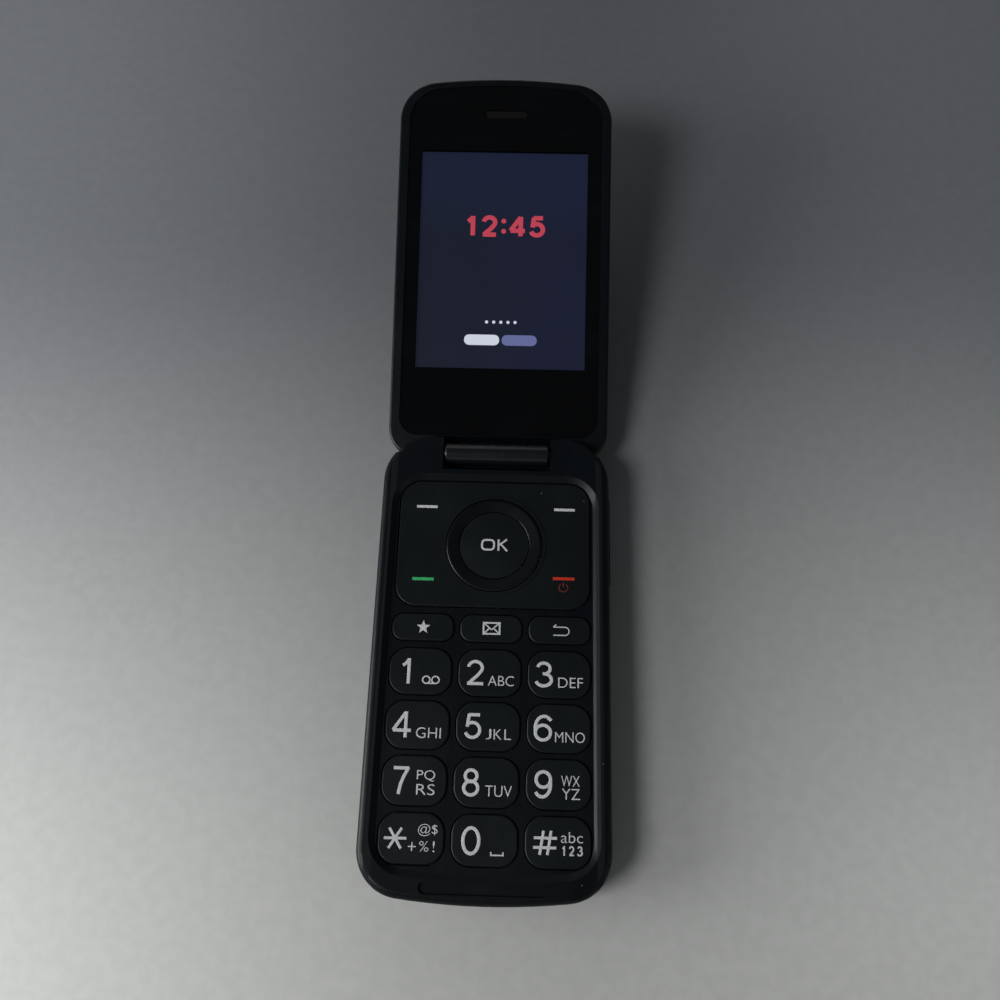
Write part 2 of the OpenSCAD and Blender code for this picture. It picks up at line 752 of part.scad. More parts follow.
module key_1() { number_key(-1, 1); }
module key_2() { number_key(0, 1); }
module key_3() { number_key(1, 1); }
module key_4() { number_key(-1, 2); }
module key_5() {
    number_key(0, 2);
    // Raised locating bar
    color("#232729") at_hinge() translate([0, -row_d(2) - key_h / 2 + 1.4, key_z - 0.1]) {
        cube([2.4, 0.5, 0.5], center = true);
    }
}
module key_6() { number_key(1, 2); }
module key_7() { number_key(-1, 3); }
module key_8() { number_key(0, 3); }
module key_9() { number_key(1, 3); }
module key_star() { number_key(-1, 4); }
module key_0() { number_key(0, 4); }
module key_hash() { number_key(1, 4); }
module key_favourite() { upper_key(-1); }
module key_message() { upper_key(0); }
module key_back() { upper_key(1); }

module function_plate() {
    color("#232729") at_hinge() difference() {
        union() {
            slab(plate_w / 2, -plate_end_d, -plate_top_d, plate_r, plate_r, 0, plate_low, key_z, 0, 0.35);
            translate([0, -ring_d, key_z - cut / 2])
                cylinder(r = plate_hole_r + lip_w, h = lip_h + cut / 2);
        }
        translate([0, -ring_d, plate_low - cut])
            cylinder(r = plate_hole_r, h = plate_t + 2 * cut, $fn = 96);
    }
}

module function_plate_pads() {
    color("#2b2e30") at_hinge() for (end = [-1, 1])
        translate([0, end * (plate_hole_r + 1.9) - ring_d, (plate_pad_low + plate_low - pad_gap) / 2])
            cube([7, 2.4, plate_low - pad_gap - plate_pad_low], center = true);
}

module nav_ring() {
    color("#1a1d1f") at_hinge() translate([0, -ring_d, 0]) rotate_extrude($fn = 96)
        polygon([
            [ok_r + ring_gap, ring_low], [ring_r, ring_low], [ring_r, key_z + 0.1],
            [ring_r - 0.2, key_z + 0.3], [ring_r - 0.6, key_z + 0.3],
            [ok_r + ring_gap + 0.1, key_z - 0.1], [ok_r + ring_gap, key_z - 0.2]
        ]);
}

module nav_ring_pads() {
    color("#2b2e30") at_hinge() for (end = [-1, 1])
        translate([
            0, end * (ring_r + ok_r + ring_gap) / 2 - ring_d, (ring_pad_low + ring_low - pad_gap) / 2
        ])
            cube([3.6, 2.2, ring_low - pad_gap - ring_pad_low], center = true);
}

module ok_button() {
    dome_r = 140;        // slow crown of the button's face
    color("#232729") at_hinge() translate([0, -ring_d, 0]) {
        intersection() {
            translate([0, 0, ok_low]) cylinder(r = ok_r, h = key_z + 0.1 - ok_low, $fn = 96);
            translate([0, 0, key_z + 0.1 - dome_r]) sphere(dome_r, $fn = 256);
        }
        translate([0, 0, dome_top + key_travel + press_clear])
            cylinder(r = 1.4, h = ok_low - dome_top - key_travel);
    }
}

module volume_rocker() {
    color("#202426") at_hinge() translate([0, -rocker_d, rocker_z]) {
        translate([hw - rocker_depth + 0.3, 0, 0]) rotate([90, 0, 90])
            slab(rocker_l / 2, -rocker_h / 2, rocker_h / 2, rocker_r, rocker_r, 0,
                0, rocker_depth - 0.3 + rocker_proud, 0, 0.4);
        translate([hw - rocker_depth, -rocker_l / 2 - 0.5, -rocker_h / 2 - 0.4])
            cube([rocker_flange_t, rocker_l + 1, rocker_h + 0.8]);
    }
}

// ---------- Hinge ----------

module hinge_pin() {
    color("#a9adb0") translate([0, hinge_y, axis_z])
        along_x(-notch_hw - pin_seat + 0.1, -notch_hw + 4, pin_r);
}

module hinge_bush() {
    color("#a9adb0") translate([0, hinge_y, axis_z]) difference() {
        along_x(notch_hw - 4, notch_hw + pin_seat - 0.1, pin_r);
        along_x(notch_hw - 4 - cut, notch_hw + pin_seat + cut, pin_r - 0.5);
    }
}

module hinge_wire() {
    color("#3c2f2a") translate([0, hinge_y, axis_z]) along_x(0.5, notch_hw + pin_seat - 0.4, pin_r - 0.65);
}

module hinge_barrel() {
    chamfer = 0.4;
    color("#4a4e50") in_lid() difference() {
        translate([0, barrel_setback * cos(tilt), -barrel_setback * sin(tilt)]) rotate([0, 90, 0])
            rotate_extrude() polygon([
                [0, -barrel_l / 2], [barrel_r - chamfer, -barrel_l / 2],
                [barrel_r, -barrel_l / 2 + chamfer],
                [barrel_r, barrel_l / 2 - chamfer], [barrel_r - chamfer, barrel_l / 2], [0, barrel_l / 2]
            ]);
        along_x(-barrel_l / 2 - cut, -0.6, cartridge_r + bore_clear);
        along_x(-0.7, notch_hw - 5, cartridge_r - 0.4);
        along_x(-0.8, barrel_l / 2 + cut, pin_r + pin_clear);
    }
}

module hinge_cartridge() {
    color("#a9adb0") in_lid() difference() {
        along_x(-barrel_l / 2 + 0.1, -0.8, cartridge_r);
        along_x(-barrel_l / 2 - cut, -notch_hw + 4.4, pin_r + pin_clear);
    }
}

// ---------- Lid mouldings ----------

module lens_slab(grow, z0, z1) {
    tier(z0, z1) mirror([0, 1])
        bowed_plan(lens_hw + grow, -lens_far_s - grow, -lens_near_s + grow,
            lens_far_r + grow, lens_near_r + grow, end_rise);
}

module relief(grow) {
    nose_revolve(nose_clear + grow);
    along_x(-nose_flat + 1, nose_flat - 1, relief_r + grow);
}

module lid_frame() {
    color("#1b1f21") in_lid() {
        difference() {
            intersection() {
                lid_envelope();
                layer(lid_parting, lid_front + cut);
            }
            relief(0);
            lens_slab(lens_gap, lens_back - 0.02, lid_front + cut);
            translate([0, picture_s, lid_parting - cut]) linear_extrude(lid_h)
                square([display_w + 2 * slide_clear, display_h + 2 * slide_clear], center = true);
            // Earpiece: sound port, and the receiver's seat behind it
            translate([0, ear_slot_s, lid_parting - cut]) linear_extrude(lid_h)
                round_rect(ear_slot_w, ear_slot_h, 1);
            translate([0, ear_slot_s, lid_parting - cut]) linear_extrude(1.4 + cut)
                round_rect(receiver_w + 2 * slide_clear, receiver_l + 2 * slide_clear, 2);
        }
        neck();
    }
}

// The neck that carries the barrel: a shelf under the lens's near edge and a web up to the barrel
module neck() {
    difference() {
        union() {
            translate([-neck_hw, 0.6, lid_parting])
                cube([2 * neck_hw, relief_r + 0.6, neck_top - lid_parting]);
            translate([-neck_hw, -0.6, neck_top]) mirror([0, 0, 1]) cube([2 * neck_hw, 3.6, 0.05]);
            translate([-neck_hw, -0.6, neck_top - 0.05]) cube([2 * neck_hw, 3.4, -neck_top - 0.6]);
        }
        translate([0, barrel_setback * cos(tilt), -barrel_setback * sin(tilt)])
            along_x(-neck_hw - cut, neck_hw + cut, barrel_r + 0.04);
    }
}

receiver_w = 15;
receiver_l = 6;
outer_lens_r = 5;
camera_hole_r = 3;
flash_x = 8;
flash_r = 1.5;

module lid_cover() {
    hollow_near_s = 8.5;     // ends of the hollow behind the boards
    hollow_far_s = lid_l - 2.4;
    color("#16191b") in_lid() difference() {
        intersection() {
            lid_envelope();
            layer(lid_back - cut, lid_parting - parting_gap);
        }
        translate([0, 0, lid_back + skin_t]) linear_extrude(lid_h)
            translate([0, (hollow_near_s + hollow_far_s) / 2])
                round_rect(body_w - 2 * cover_edge_r, hollow_far_s - hollow_near_s, 6);
        translate([0, outer_lens_s, lid_back - cut]) {
            linear_extrude(lens_t + lens_gap + cut)
                round_rect(outer_lens_w + 2 * lens_gap, outer_lens_w + 2 * lens_gap, outer_lens_r);
            linear_extrude(lid_h) square(outer_lens_w - 4, center = true);
        }
        translate([0, camera_s, lid_back - cut]) {
            cylinder(r = camera_hole_r + lens_gap, h = 0.7 + cut);
            cylinder(r = camera_hole_r - 0.5, h = lid_h);
        }
        translate([flash_x, camera_s, lid_back - cut]) cylinder(r = flash_r + lens_gap, h = lid_h);
    }
}

module display_lens() {
    color("#050708") in_lid() difference() {
        lens_slab(0, lens_back, lens_front);
        translate([0, ear_slot_s, lens_back - cut]) linear_extrude(lens_t + 2 * cut)
            round_rect(ear_slot_w, ear_slot_h, ear_slot_h / 2 - 0.02);
    }
}

module main_display() {
    color("#1c2238") in_lid() translate([0, picture_s, 0]) {
        tier(display_front - 0.5, display_front) square([picture_w + 0.6, picture_h + 0.6], center = true);
        tier(display_front - display_t, display_front - 0.5) square([display_w, display_h], center = true);
    }
}

module earpiece_mesh() {
    color("#3a3d40") in_lid() translate([0, ear_slot_s, 0])
        tier(lens_back + 0.1, lens_front - 0.3)
            round_rect(ear_slot_w - 0.2, ear_slot_h - 0.2, ear_slot_h / 2 - 0.12);
}

module earpiece_receiver() {
    color("#3a3d40") in_lid() translate([0, ear_slot_s, 0])
        tier(lid_parting - 1.2, lid_parting + 1.3) round_rect(receiver_w, receiver_l, 1.9);
}

module lid_board() {
    color("#1f5a3c") in_lid() tier(lid_board_top - lid_board_t, lid_board_top) translate([0, (22 + 84) / 2])
        round_rect(42, 62, 2);
}

module lid_magnet() {
    color("#8d9194") in_lid() translate([14, lid_l - 7, lid_board_top - 1.2]) cube([6, 2, 1.2]);
}

module outer_lens() {
    color("#050708") in_lid() translate([0, outer_lens_s, lid_back]) linear_extrude(lens_t)
        round_rect(outer_lens_w, outer_lens_w, outer_lens_r - lens_gap);
}

module outer_display() {
    color("#1c2238") in_lid() translate([0, outer_lens_s, 0])
        tier(lid_back + lens_t + 0.25, lid_board_top - lid_board_t - 0.15)
            square(outer_lens_w - 5, center = true);
}

module camera_module() {
    module_w = 7.2;
    color("#26292b") in_lid() translate([0, camera_s, 0]) {
        translate([0, 0, lid_back + 0.8]) cylinder(r = camera_hole_r - 0.7, h = 2);
        translate([-module_w / 2, -module_w / 2, lid_back + skin_t + 0.1])
            cube([module_w, module_w, lid_parting - lid_back - skin_t - 0.3]);
    }
}

module camera_lens() {
    color("#0a0c0e") in_lid() translate([0, camera_s, lid_back]) cylinder(r = camera_hole_r, h = 0.68);
}

module flash_lens() {
    color("#e8e4d0") in_lid() translate([flash_x, camera_s, lid_back]) cylinder(r = flash_r, h = 1.3);
}

front_housing();
rear_housing();
keypad_mat();
dome_sheet();
main_board();
shield_can();
battery();
battery_contacts();
sim_card_holder();
usb_shell();
usb_tongue();
headset_jack();
loudspeaker();
microphone();
vibration_motor();
side_switches();
housing_screws();
battery_cover();
key_1();
key_2();
key_3();
key_4();
key_5();
key_6();
key_7();
key_8();
key_9();
key_star();
key_0();
key_hash();
key_favourite();
key_message();
key_back();
ok_button();
nav_ring();
nav_ring_pads();
function_plate();
function_plate_pads();
volume_rocker();
hinge_pin();
hinge_bush();
hinge_wire();
lid_frame();
lid_cover();
hinge_barrel();
hinge_cartridge();
display_lens();
main_display();
earpiece_mesh();
earpiece_receiver();
lid_board();
lid_magnet();
outer_lens();
outer_display();
camera_module();
camera_lens();
flash_lens();
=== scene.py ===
"""Looks of a flip phone, built round its CAD frame.

Adds the prints on the keys, the lit picture, the small metal fittings, a finish for every piece, and the stage.
Pieces are placed from the frame's boxes and joints. Lengths are metres, and tables of places are millimetres.
"""

import json
import math

import bpy
from bpy.props import FloatProperty, FloatVectorProperty, PointerProperty
from mathutils import Matrix, Vector


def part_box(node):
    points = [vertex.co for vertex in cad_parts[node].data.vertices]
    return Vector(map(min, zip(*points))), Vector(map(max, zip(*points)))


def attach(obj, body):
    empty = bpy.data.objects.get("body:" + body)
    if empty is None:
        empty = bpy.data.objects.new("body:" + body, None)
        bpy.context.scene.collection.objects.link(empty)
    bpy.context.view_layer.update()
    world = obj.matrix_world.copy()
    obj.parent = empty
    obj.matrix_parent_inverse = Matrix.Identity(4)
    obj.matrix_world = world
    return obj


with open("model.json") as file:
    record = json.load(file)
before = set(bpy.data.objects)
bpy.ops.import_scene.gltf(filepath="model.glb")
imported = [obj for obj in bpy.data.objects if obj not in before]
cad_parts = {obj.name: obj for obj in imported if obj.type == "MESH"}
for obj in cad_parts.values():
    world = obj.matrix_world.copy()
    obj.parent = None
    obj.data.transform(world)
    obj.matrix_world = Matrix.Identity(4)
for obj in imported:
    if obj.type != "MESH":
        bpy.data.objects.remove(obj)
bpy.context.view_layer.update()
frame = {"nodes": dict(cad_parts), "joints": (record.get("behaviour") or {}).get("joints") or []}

bl_info = {
    "name": "Flip Phone Looks",
    "version": (1, 0, 0),
    "blender": (4, 5, 0),
    "location": "View3D > Sidebar > Flip Phone",
    "description": "Dresses the flip phone: key prints, lit display, metal fittings, finishes and stage",
    "category": "Object",
}

MM = 0.001
NODES = frame["nodes"]
HINGE = next(Vector(j["pos_m"]) for j in frame["joints"] if j["name"] == "lid_fold")
LID_TILT = math.radians(14.1)  # slope of the open lid
LID = Matrix.Translation(HINGE) @ Matrix.Rotation(LID_TILT, 4, "X")
KEY_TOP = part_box("key_1")[1].z
SIDE_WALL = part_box("rear_housing")[0].x

# Heights in the lid's own frame, from the hinge axis
DISPLAY_FACE = -3.5 * MM
CAMERA_FACE = -9.25 * MM

PANEL_PITCH = 0.18 * MM  # spacing of the display's dots
WEAR_AND_HIGHLIGHT_TONE = 5  # how much lighter than its colour a rubbed edge, or an edge with a painted highlight, is
MATT_ROUGHNESS = 0.34  # what a dull area adds to the roughness


def middle(node):
    """Centre of a node's box at rest."""
    low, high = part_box(node)
    return (low + high) / 2


# Prints on the fifteen keys: (kind, label, x from, x to, y from, y to), in millimetres from the key's centre
KEY_PRINTS = {
    "key_1": [("digit", "1", -4.4, -2.2, -2.95, 2.9), ("tape", "", 0.45, 4.5, -2.85, -0.95)],
    "key_2": [("digit", "2", -5.35, -1.15, -2.85, 2.9), ("text", "ABC", -0.35, 5.45, -2.85, -0.6)],
    "key_3": [("digit", "3", -5.45, -1.25, -2.95, 2.95), ("text", "DEF", -0.25, 5.3, -2.85, -0.6)],
    "key_4": [("digit", "4", -5.6, -1.2, -2.9, 2.9), ("text", "GHI", -0.2, 5.3, -2.85, -0.55)],
    "key_5": [
        ("digit", "5", -5.3, -1.3, -2.8, 2.9),
        ("text", "J", -0.4, 0.75, -2.7, -0.5),
        ("text", "K", 1.3, 3.05, -2.7, -0.5),
        ("text", "L", 3.65, 5.1, -2.7, -0.5),
    ],
    "key_6": [("digit", "6", -5.65, -1.35, -2.9, 3.0), ("text", "MNO", -0.85, 5.7, -2.95, -0.7)],
    "key_7": [
        ("digit", "7", -4.85, -0.9, -3.0, 2.95),
        ("text", "PQ", 0.55, 4.5, -0.15, 2.2),
        ("text", "RS", 0.55, 4.55, -2.95, -0.7),
    ],
    "key_8": [("digit", "8", -5.25, -1.35, -3.05, 2.95), ("text", "TUV", -0.2, 5.6, -2.9, -0.6)],
    "key_9": [
        ("digit", "9", -5.3, -1.25, -3.0, 3.0),
        ("text", "WX", 0.55, 4.6, -0.35, 1.9),
        ("text", "YZ", 0.75, 4.65, -3.05, -0.8),
    ],
    "key_star": [
        ("asterisk", "", -5.75, -0.95, -2.4, 2.4),
        ("text", "@$", 1.45, 5.65, 0.55, 3.0),
        ("text", "+", -0.55, 1.15, -2.45, -0.75),
        ("text", "%", 1.85, 3.85, -2.55, -0.45),
        ("text", "!", 4.75, 5.15, -2.6, -0.4),
    ],
    "key_0": [("digit", "0", -4.95, -0.75, -3.05, 2.9), ("space", "", 1.3, 4.2, -3.0, -2.2)],
    "key_hash": [
        ("hash", "", -5.3, -0.25, -2.45, 2.35),
        ("text", "abc", 0.6, 5.25, 0.05, 2.25),
        ("small digit", "1", 0.8, 1.5, -2.55, -0.5),
        ("small digit", "2", 2.25, 3.5, -2.55, -0.5),
        ("small digit", "3", 4.0, 5.3, -2.55, -0.5),
    ],
    "key_favourite": [("star", "", -1.45, 1.65, -1.4, 1.6)],
    "key_message": [("envelope", "", -1.95, 2.15, -1.4, 1.55)],
    "key_back": [("hook", "", -1.6, 2.3, -1.25, 1.35)],
}

# Bars on the function plate: name, x from, x to, and distances from the hinge axis, in millimetres
PLATE_BARS = [
    ("soft_key_bar_left", "ink", -18.75, -13.8, 13.4, 14.05),
    ("soft_key_bar_right", "ink", 14.1, 19.05, 13.45, 14.1),
    ("call_bar", "call", -18.8, -13.8, 31.25, 31.95),
    ("end_bar", "end", 13.95, 19.0, 30.4, 31.1),
]

# Power symbol, in millimetres: its middle, its ring and line, and the ends of its stem above the middle
POWER_X, POWER_FROM_HINGE = 16.45, 32.85
POWER_RADIUS, POWER_LINE = 1.02, 0.2
POWER_STEM = (0.15, 1.3)

# Letters on the centre button, in millimetres from its middle. A leg is (inner x, inner y, outer x).
LETTER_SHIFT, LETTER_HALF_HEIGHT, LETTER_LINE = 0.1, 1.42, 0.46
ROUND_LETTER = (-3.15, 0.15)
LETTER_STEM = 0.75
UPPER_LEG = (0.95, -0.15, 2.95)
LOWER_LEG = (1.5, 0.25, 3.05)

# Lit marks, in millimetres from the display's middle line and from the hinge axis
CLOCK_FOOT, CLOCK_HEAD, CLOCK_LINE = 57.2, 62.9, 1.15
CLOCK_DIGITS = [("1", -9.6, -7.2), ("2", -5.7, -1.4), ("4", 1.4, 5.9), ("5", 6.6, 10.8)]
COLON_X, COLON_RADIUS, COLON_HEIGHTS = 0.1, 0.62, (58.7, 61.4)
DOT_HEIGHT, DOT_RADIUS, DOT_PLACES = 34.9, 0.4, (-3.6, -1.8, 0, 1.8, 3.6)
PROGRESS_FOOT, PROGRESS_HEAD = 28.9, 31.6
PROGRESS_DONE, PROGRESS_REST = (-9.2, -0.3), (0.3, 9.2)

# The camera: place in millimetres, turns in degrees and in their order, and its film in millimetres
CAMERA_PLACE = (5.32, -35.555, 219.54)
CAMERA_TURNS = (("Y", 1.158), ("X", 19.667), ("Z", 1.765))
FOCAL_LENGTH, SENSOR_WIDTH = 33.24, 36


class PhoneSizes(bpy.types.PropertyGroup):
    print_rise: FloatProperty(
        name="Print rise", description="How far a print stands above its key", default=0.012 * MM, unit="LENGTH"
    )
    print_sink: FloatProperty(
        name="Print sink", description="How far a print reaches into its key", default=0.02 * MM, unit="LENGTH"
    )
    stroke: FloatProperty(
        name="Symbol stroke", description="Line width of the drawn symbols", default=0.42 * MM, unit="LENGTH"
    )
    digit_stroke: FloatProperty(
        name="Digit stroke", description="Line width of the large digits", default=0.8 * MM, unit="LENGTH"
    )
    crown_radius: FloatProperty(
        name="Crown radius", description="Radius of the centre button's crown", default=140 * MM, unit="LENGTH"
    )
    picture_width: FloatProperty(
        name="Picture width", description="Width of the lit picture", default=42.67 * MM, unit="LENGTH"
    )
    picture_height: FloatProperty(
        name="Picture height", description="Height of the lit picture", default=56.9 * MM, unit="LENGTH"
    )
    picture_middle: FloatProperty(
        name="Picture middle", description="Hinge axis to the picture's middle", default=51.13 * MM, unit="LENGTH"
    )


def tint(name, text, value):
    """A colour that the user can change."""
    return FloatVectorProperty(name=name, description=text, default=value, subtype="COLOR", size=3, min=0, max=1)


class PhoneColours(bpy.types.PropertyGroup):
    moulding: tint("Mouldings", "Housings and lid frame", (0.0018, 0.0029, 0.0039))
    keys: tint("Keys", "Key caps and function plate", (0.0032, 0.0049, 0.0056))
    ring: tint("Ring", "Navigation ring", (0.0014, 0.0021, 0.0027))
    barrel: tint("Barrel", "Hinge barrel", (0.0042, 0.005, 0.0058))
    ink: tint("Ink", "Printed legends", (0.46, 0.475, 0.48))
    call: tint("Call bar", "Green bar of the call key", (0.035, 0.33, 0.115))
    end: tint("End bar", "Red bar of the end key", (0.43, 0.028, 0.012))
    power: tint("Power symbol", "Thin symbol below the end bar", (0.16, 0.016, 0.014))
    picture: tint("Picture", "Lit background of the display", (0.0108, 0.0145, 0.034))
    digits: tint("Digits", "Clock digits on the display", (0.62, 0.065, 0.105))
    glow: tint("Glow", "Bright marks on the display", (0.78, 0.82, 0.95))
    table: tint("Table", "Plain floor", (0.66, 0.67, 0.65))


def sizes():
    return bpy.context.scene.phone_sizes


def colours():
    return bpy.context.scene.phone_colours


# ---------- Shaders ----------


class Wire:
    """A value in a shader. Arithmetic on it adds the Math nodes."""

    def __init__(self, shader, socket):
        self.shader = shader
        self.socket = socket

    def math(self, operation, *rest):
        return self.shader.math(operation, self, *rest)

    def __add__(self, other):
        return self.math("ADD", other)

    __radd__ = __add__

    def __sub__(self, other):
        return self.math("SUBTRACT", other)

    def __rsub__(self, other):
        return self.shader.math("SUBTRACT", other, self)

    def __mul__(self, other):
        return self.math("MULTIPLY", other)

    __rmul__ = __mul__

    def __truediv__(self, other):
        return self.math("DIVIDE", other)

    def __mod__(self, other):
        return self.math("FLOORED_MODULO", other)

    def __lt__(self, other):
        return self.math("LESS_THAN", other)

    def __gt__(self, other):
        return self.math("GREATER_THAN", other)

    def __abs__(self):
        return self.math("ABSOLUTE")

    def ramp(self, start, end, low=0.0, high=1.0):
        """Runs smoothly from low to high as the value goes from start to end."""
        return self.shader.node(
            "ShaderNodeMapRange",
            {"interpolation_type": "SMOOTHSTEP"},
            {"Value": self, "From Min": start, "From Max": end, "To Min": low, "To Max": high},
        )


class Shader:
    """The node tree of a new material or world, filled by code."""

    def __init__(self, name, store="materials"):
        self.owner = getattr(bpy.data, store).new(name)
        self.owner.use_nodes = True
        self.tree = self.owner.node_tree
        self.tree.nodes.clear()

    def node(self, kind, settings=None, inputs=None, out=0):
        """Adds any node: its settings first, then the values or links of its sockets."""
        made = self.tree.nodes.new(kind)
        for name, value in (settings or {}).items():
            setattr(made, name, value)
        for name, value in (inputs or {}).items():
            if isinstance(value, Wire):
                self.tree.links.new(value.socket, made.inputs[name])
            else:
                made.inputs[name].default_value = value
        return Wire(self, made.outputs[out]) if len(made.outputs) else made

    def math(self, operation, *values):
        return self.node("ShaderNodeMath", {"operation": operation}, dict(enumerate(values)))

    def here(self):
        return self.node("ShaderNodeTexCoord", out="Object")

    def axes(self, place):
        """The three parts of a place."""
        parts = self.node("ShaderNodeSeparateXYZ", None, {0: place}).socket.node
        return [Wire(self, parts.outputs[k]) for k in range(3)]

    def noise(self, place, size, detail=2.0, rough=0.5):
        """Cloudy noise from 0 to 1, with features of the given size."""
        return self.node(
            "ShaderNodeTexNoise", None, {"Vector": place, "Scale": 1 / size, "Detail": detail, "Roughness": rough}
        )

    def stretched(self, place, factors):
        return self.node("ShaderNodeVectorMath", {"operation": "MULTIPLY"}, {0: place, 1: factors})

    def specks(self, place, spacing, size, share):
        """1 inside sparse round specks. Share is the part of the cells that hold one."""
        cell = self.node("ShaderNodeTexVoronoi", None, {"Vector": place, "Scale": 1 / spacing})
        colour = Wire(self, cell.socket.node.outputs["Color"])
        present = self.axes(colour)[0] < share
        return (cell < size / spacing) * present

    def blend(self, factor, a, b):
        """Mixes two colours."""
        mixed = self.node(
            "ShaderNodeMix",
            {"data_type": "RGBA"},
            {0: factor, 6: a if isinstance(a, Wire) else opaque(a), 7: b if isinstance(b, Wire) else opaque(b)},
        )
        return Wire(self, mixed.socket.node.outputs[2])

    def bump(self, height, distance):
        return self.node("ShaderNodeBump", None, {"Height": height, "Distance": distance, "Strength": 1.0})

    def finish(self, **sockets):
        """Ends the tree in a Principled surface. Socket names are written with underscores."""
        inputs = {}
        for name, value in sockets.items():
            if not isinstance(value, Wire) and name in ("Base_Color", "Emission_Color"):
                value = opaque(value)
            inputs[name.replace("_", " ")] = value
        surface = self.node("ShaderNodeBsdfPrincipled", None, inputs)
        self.node("ShaderNodeOutputMaterial", None, {"Surface": surface})
        return self.owner


def opaque(colour):
    return (colour[0], colour[1], colour[2], 1.0)


def times(colour, factor):
    return tuple(part * factor for part in colour[:3])


def moulded(
    name, colour, rough, grain=0.22 * MM, depth=0.006 * MM, specular=0.17, dust=0.25, coat=0.0, wear_and_highlight=None, matt=None
):
    """Moulded plastic: a fine spark-eroded grain, handled patches that are smoother, and a little dust.

    The lighter-edge argument takes the three axes and gives a mask of edges made lighter, for rubbed wear and for a
    painted highlight, and matt one of duller areas.
    """
    s = Shader(name)
    here = s.here()
    fine = s.noise(here, grain, 3)
    patches = s.noise(here, 14 * MM, 3, 0.6)
    streaks = s.noise(s.stretched(here, (1.0, 0.18, 1.0)), 1.2 * MM, 2)
    base = s.blend(fine.ramp(0.3, 0.7), times(colour, 0.8), times(colour, 1.25))
    base = s.blend(patches.ramp(0.45, 0.75, 0, 0.35), base, times(colour, 1.6))
    if wear_and_highlight:
        # Edges made lighter: rubbed wear, and on the keypad rim a painted highlight.
        edge = wear_and_highlight(*s.axes(here)) * s.noise(here, 0.9 * MM, 3).ramp(0.42, 0.66)
        base = s.blend(edge, base, times(colour, WEAR_AND_HIGHLIGHT_TONE))
    base = s.blend(s.specks(here, 5 * MM, 0.1 * MM, dust), base, (0.2, 0.205, 0.205))
    roughness = rough + (patches - 0.5) * 0.16 + (streaks - 0.5) * 0.08 + (fine - 0.5) * 0.08
    if matt:
        roughness = roughness + matt(*s.axes(here)) * MATT_ROUGHNESS
    return s.finish(
        Base_Color=base,
        Roughness=roughness,
        Specular_IOR_Level=specular,
        Coat_Weight=coat,
        Coat_Roughness=0.12,
        Normal=s.bump(fine, depth),
    )


def metal(name, colour, rough, stretch=(1.0, 1.0, 0.05)):
    """Plated or drawn metal: fine drawing lines and dull patches."""
    s = Shader(name)
    here = s.here()
    lines = s.noise(s.stretched(here, stretch), 0.3 * MM, 2)
    dull = s.noise(here, 5 * MM, 3)
    base = s.blend(dull.ramp(0.4, 0.75), times(colour, 0.75), colour)
    base = s.blend(lines.ramp(0.35, 0.65, 0, 0.3), base, times(colour, 1.25))
    return s.finish(
        Base_Color=base,
        Metallic=1.0,
        Roughness=rough + (lines - 0.5) * 0.2 + (dull - 0.5) * 0.15,
        Normal=s.bump(lines, 0.004 * MM),
    )


def ink(name, colour):
    """Pad-printed ink: slightly uneven, with pinholes."""
    s = Shader(name)
    here = s.here()
    cloud = s.noise(here, 0.35 * MM, 3)
    base = s.blend(cloud.ramp(0.35, 0.7), times(colour, 0.86), times(colour, 1.08))
    base = s.blend(s.specks(here, 0.6 * MM, 0.03 * MM, 0.12), base, times(colour, 0.4))
    return s.finish(Base_Color=base, Roughness=0.42 + (cloud - 0.5) * 0.2, Specular_IOR_Level=0.3)


def glowing(name, colour):
    """Lit marks of the picture, with the faint grid of a panel's dots."""
    s = Shader(name)
    x, y, _ = s.axes(s.here())
    gap = 0.03 * MM
    dots = ((x % PANEL_PITCH) > gap) * ((y % PANEL_PITCH) > gap)
    light = s.blend(dots, times(colour, 0.8), colour)
    return s.finish(Base_Color=(0.0, 0.0, 0.0), Roughness=0.4, Emission_Color=light, Emission_Strength=1.0)


def along_lid(s):
    """Two axes of the lid's own frame: across, and along from the hinge."""
    x, y, z = s.axes(s.here())
    along = (y - HINGE.y) * math.cos(LID_TILT) + (z - HINGE.z) * math.sin(LID_TILT)
    return x, along


def inside_picture(x, along, soft):
    """1 over the lit picture, with a soft edge that reaches as far inwards as outwards."""
    size = sizes()
    half_width, half_height = size.picture_width / 2, size.picture_height / 2
    across = abs(x).ramp(half_width + soft, half_width - soft)
    return across * abs(along - size.picture_middle).ramp(half_height + soft, half_height - soft)


def picture_glass():
    """The display lens: black printed border behind clear glass, and a window over the picture."""
    s = Shader("display_glass")
    here = s.here()
    window = inside_picture(*along_lid(s), 0.05 * MM)
    smear = s.noise(s.stretched(here, (0.35, 1.0, 1.0)), 9 * MM, 3, 0.6)
    fine = s.noise(here, 0.6 * MM, 2)
    dust = s.specks(here, 7 * MM, 0.06 * MM, 0.3)
    base = s.blend(smear.ramp(0.5, 0.8, 0, 0.5), (0.0012, 0.0013, 0.0015), (0.0035, 0.0038, 0.0042))
    base = s.blend(dust, base, (0.1, 0.105, 0.11))
    return s.finish(
        Base_Color=base,
        Roughness=0.05 + smear.ramp(0.45, 0.8, 0, 0.09) + fine * 0.02,
        Specular_IOR_Level=0.3,
        Alpha=1 - window * 0.9 * (1 - dust),
    )


def dark_glass(name, specular=0.45):
    """Black-backed glossy lens."""
    s = Shader(name)
    here = s.here()
    smear = s.noise(here, 6 * MM, 3, 0.6)
    dust = s.specks(here, 6 * MM, 0.06 * MM, 0.3)
    base = s.blend(dust, (0.0015, 0.0016, 0.0019), (0.1, 0.1, 0.1))
    return s.finish(
        Base_Color=base, Roughness=0.04 + smear.ramp(0.45, 0.8, 0, 0.1), Specular_IOR_Level=specular
    )


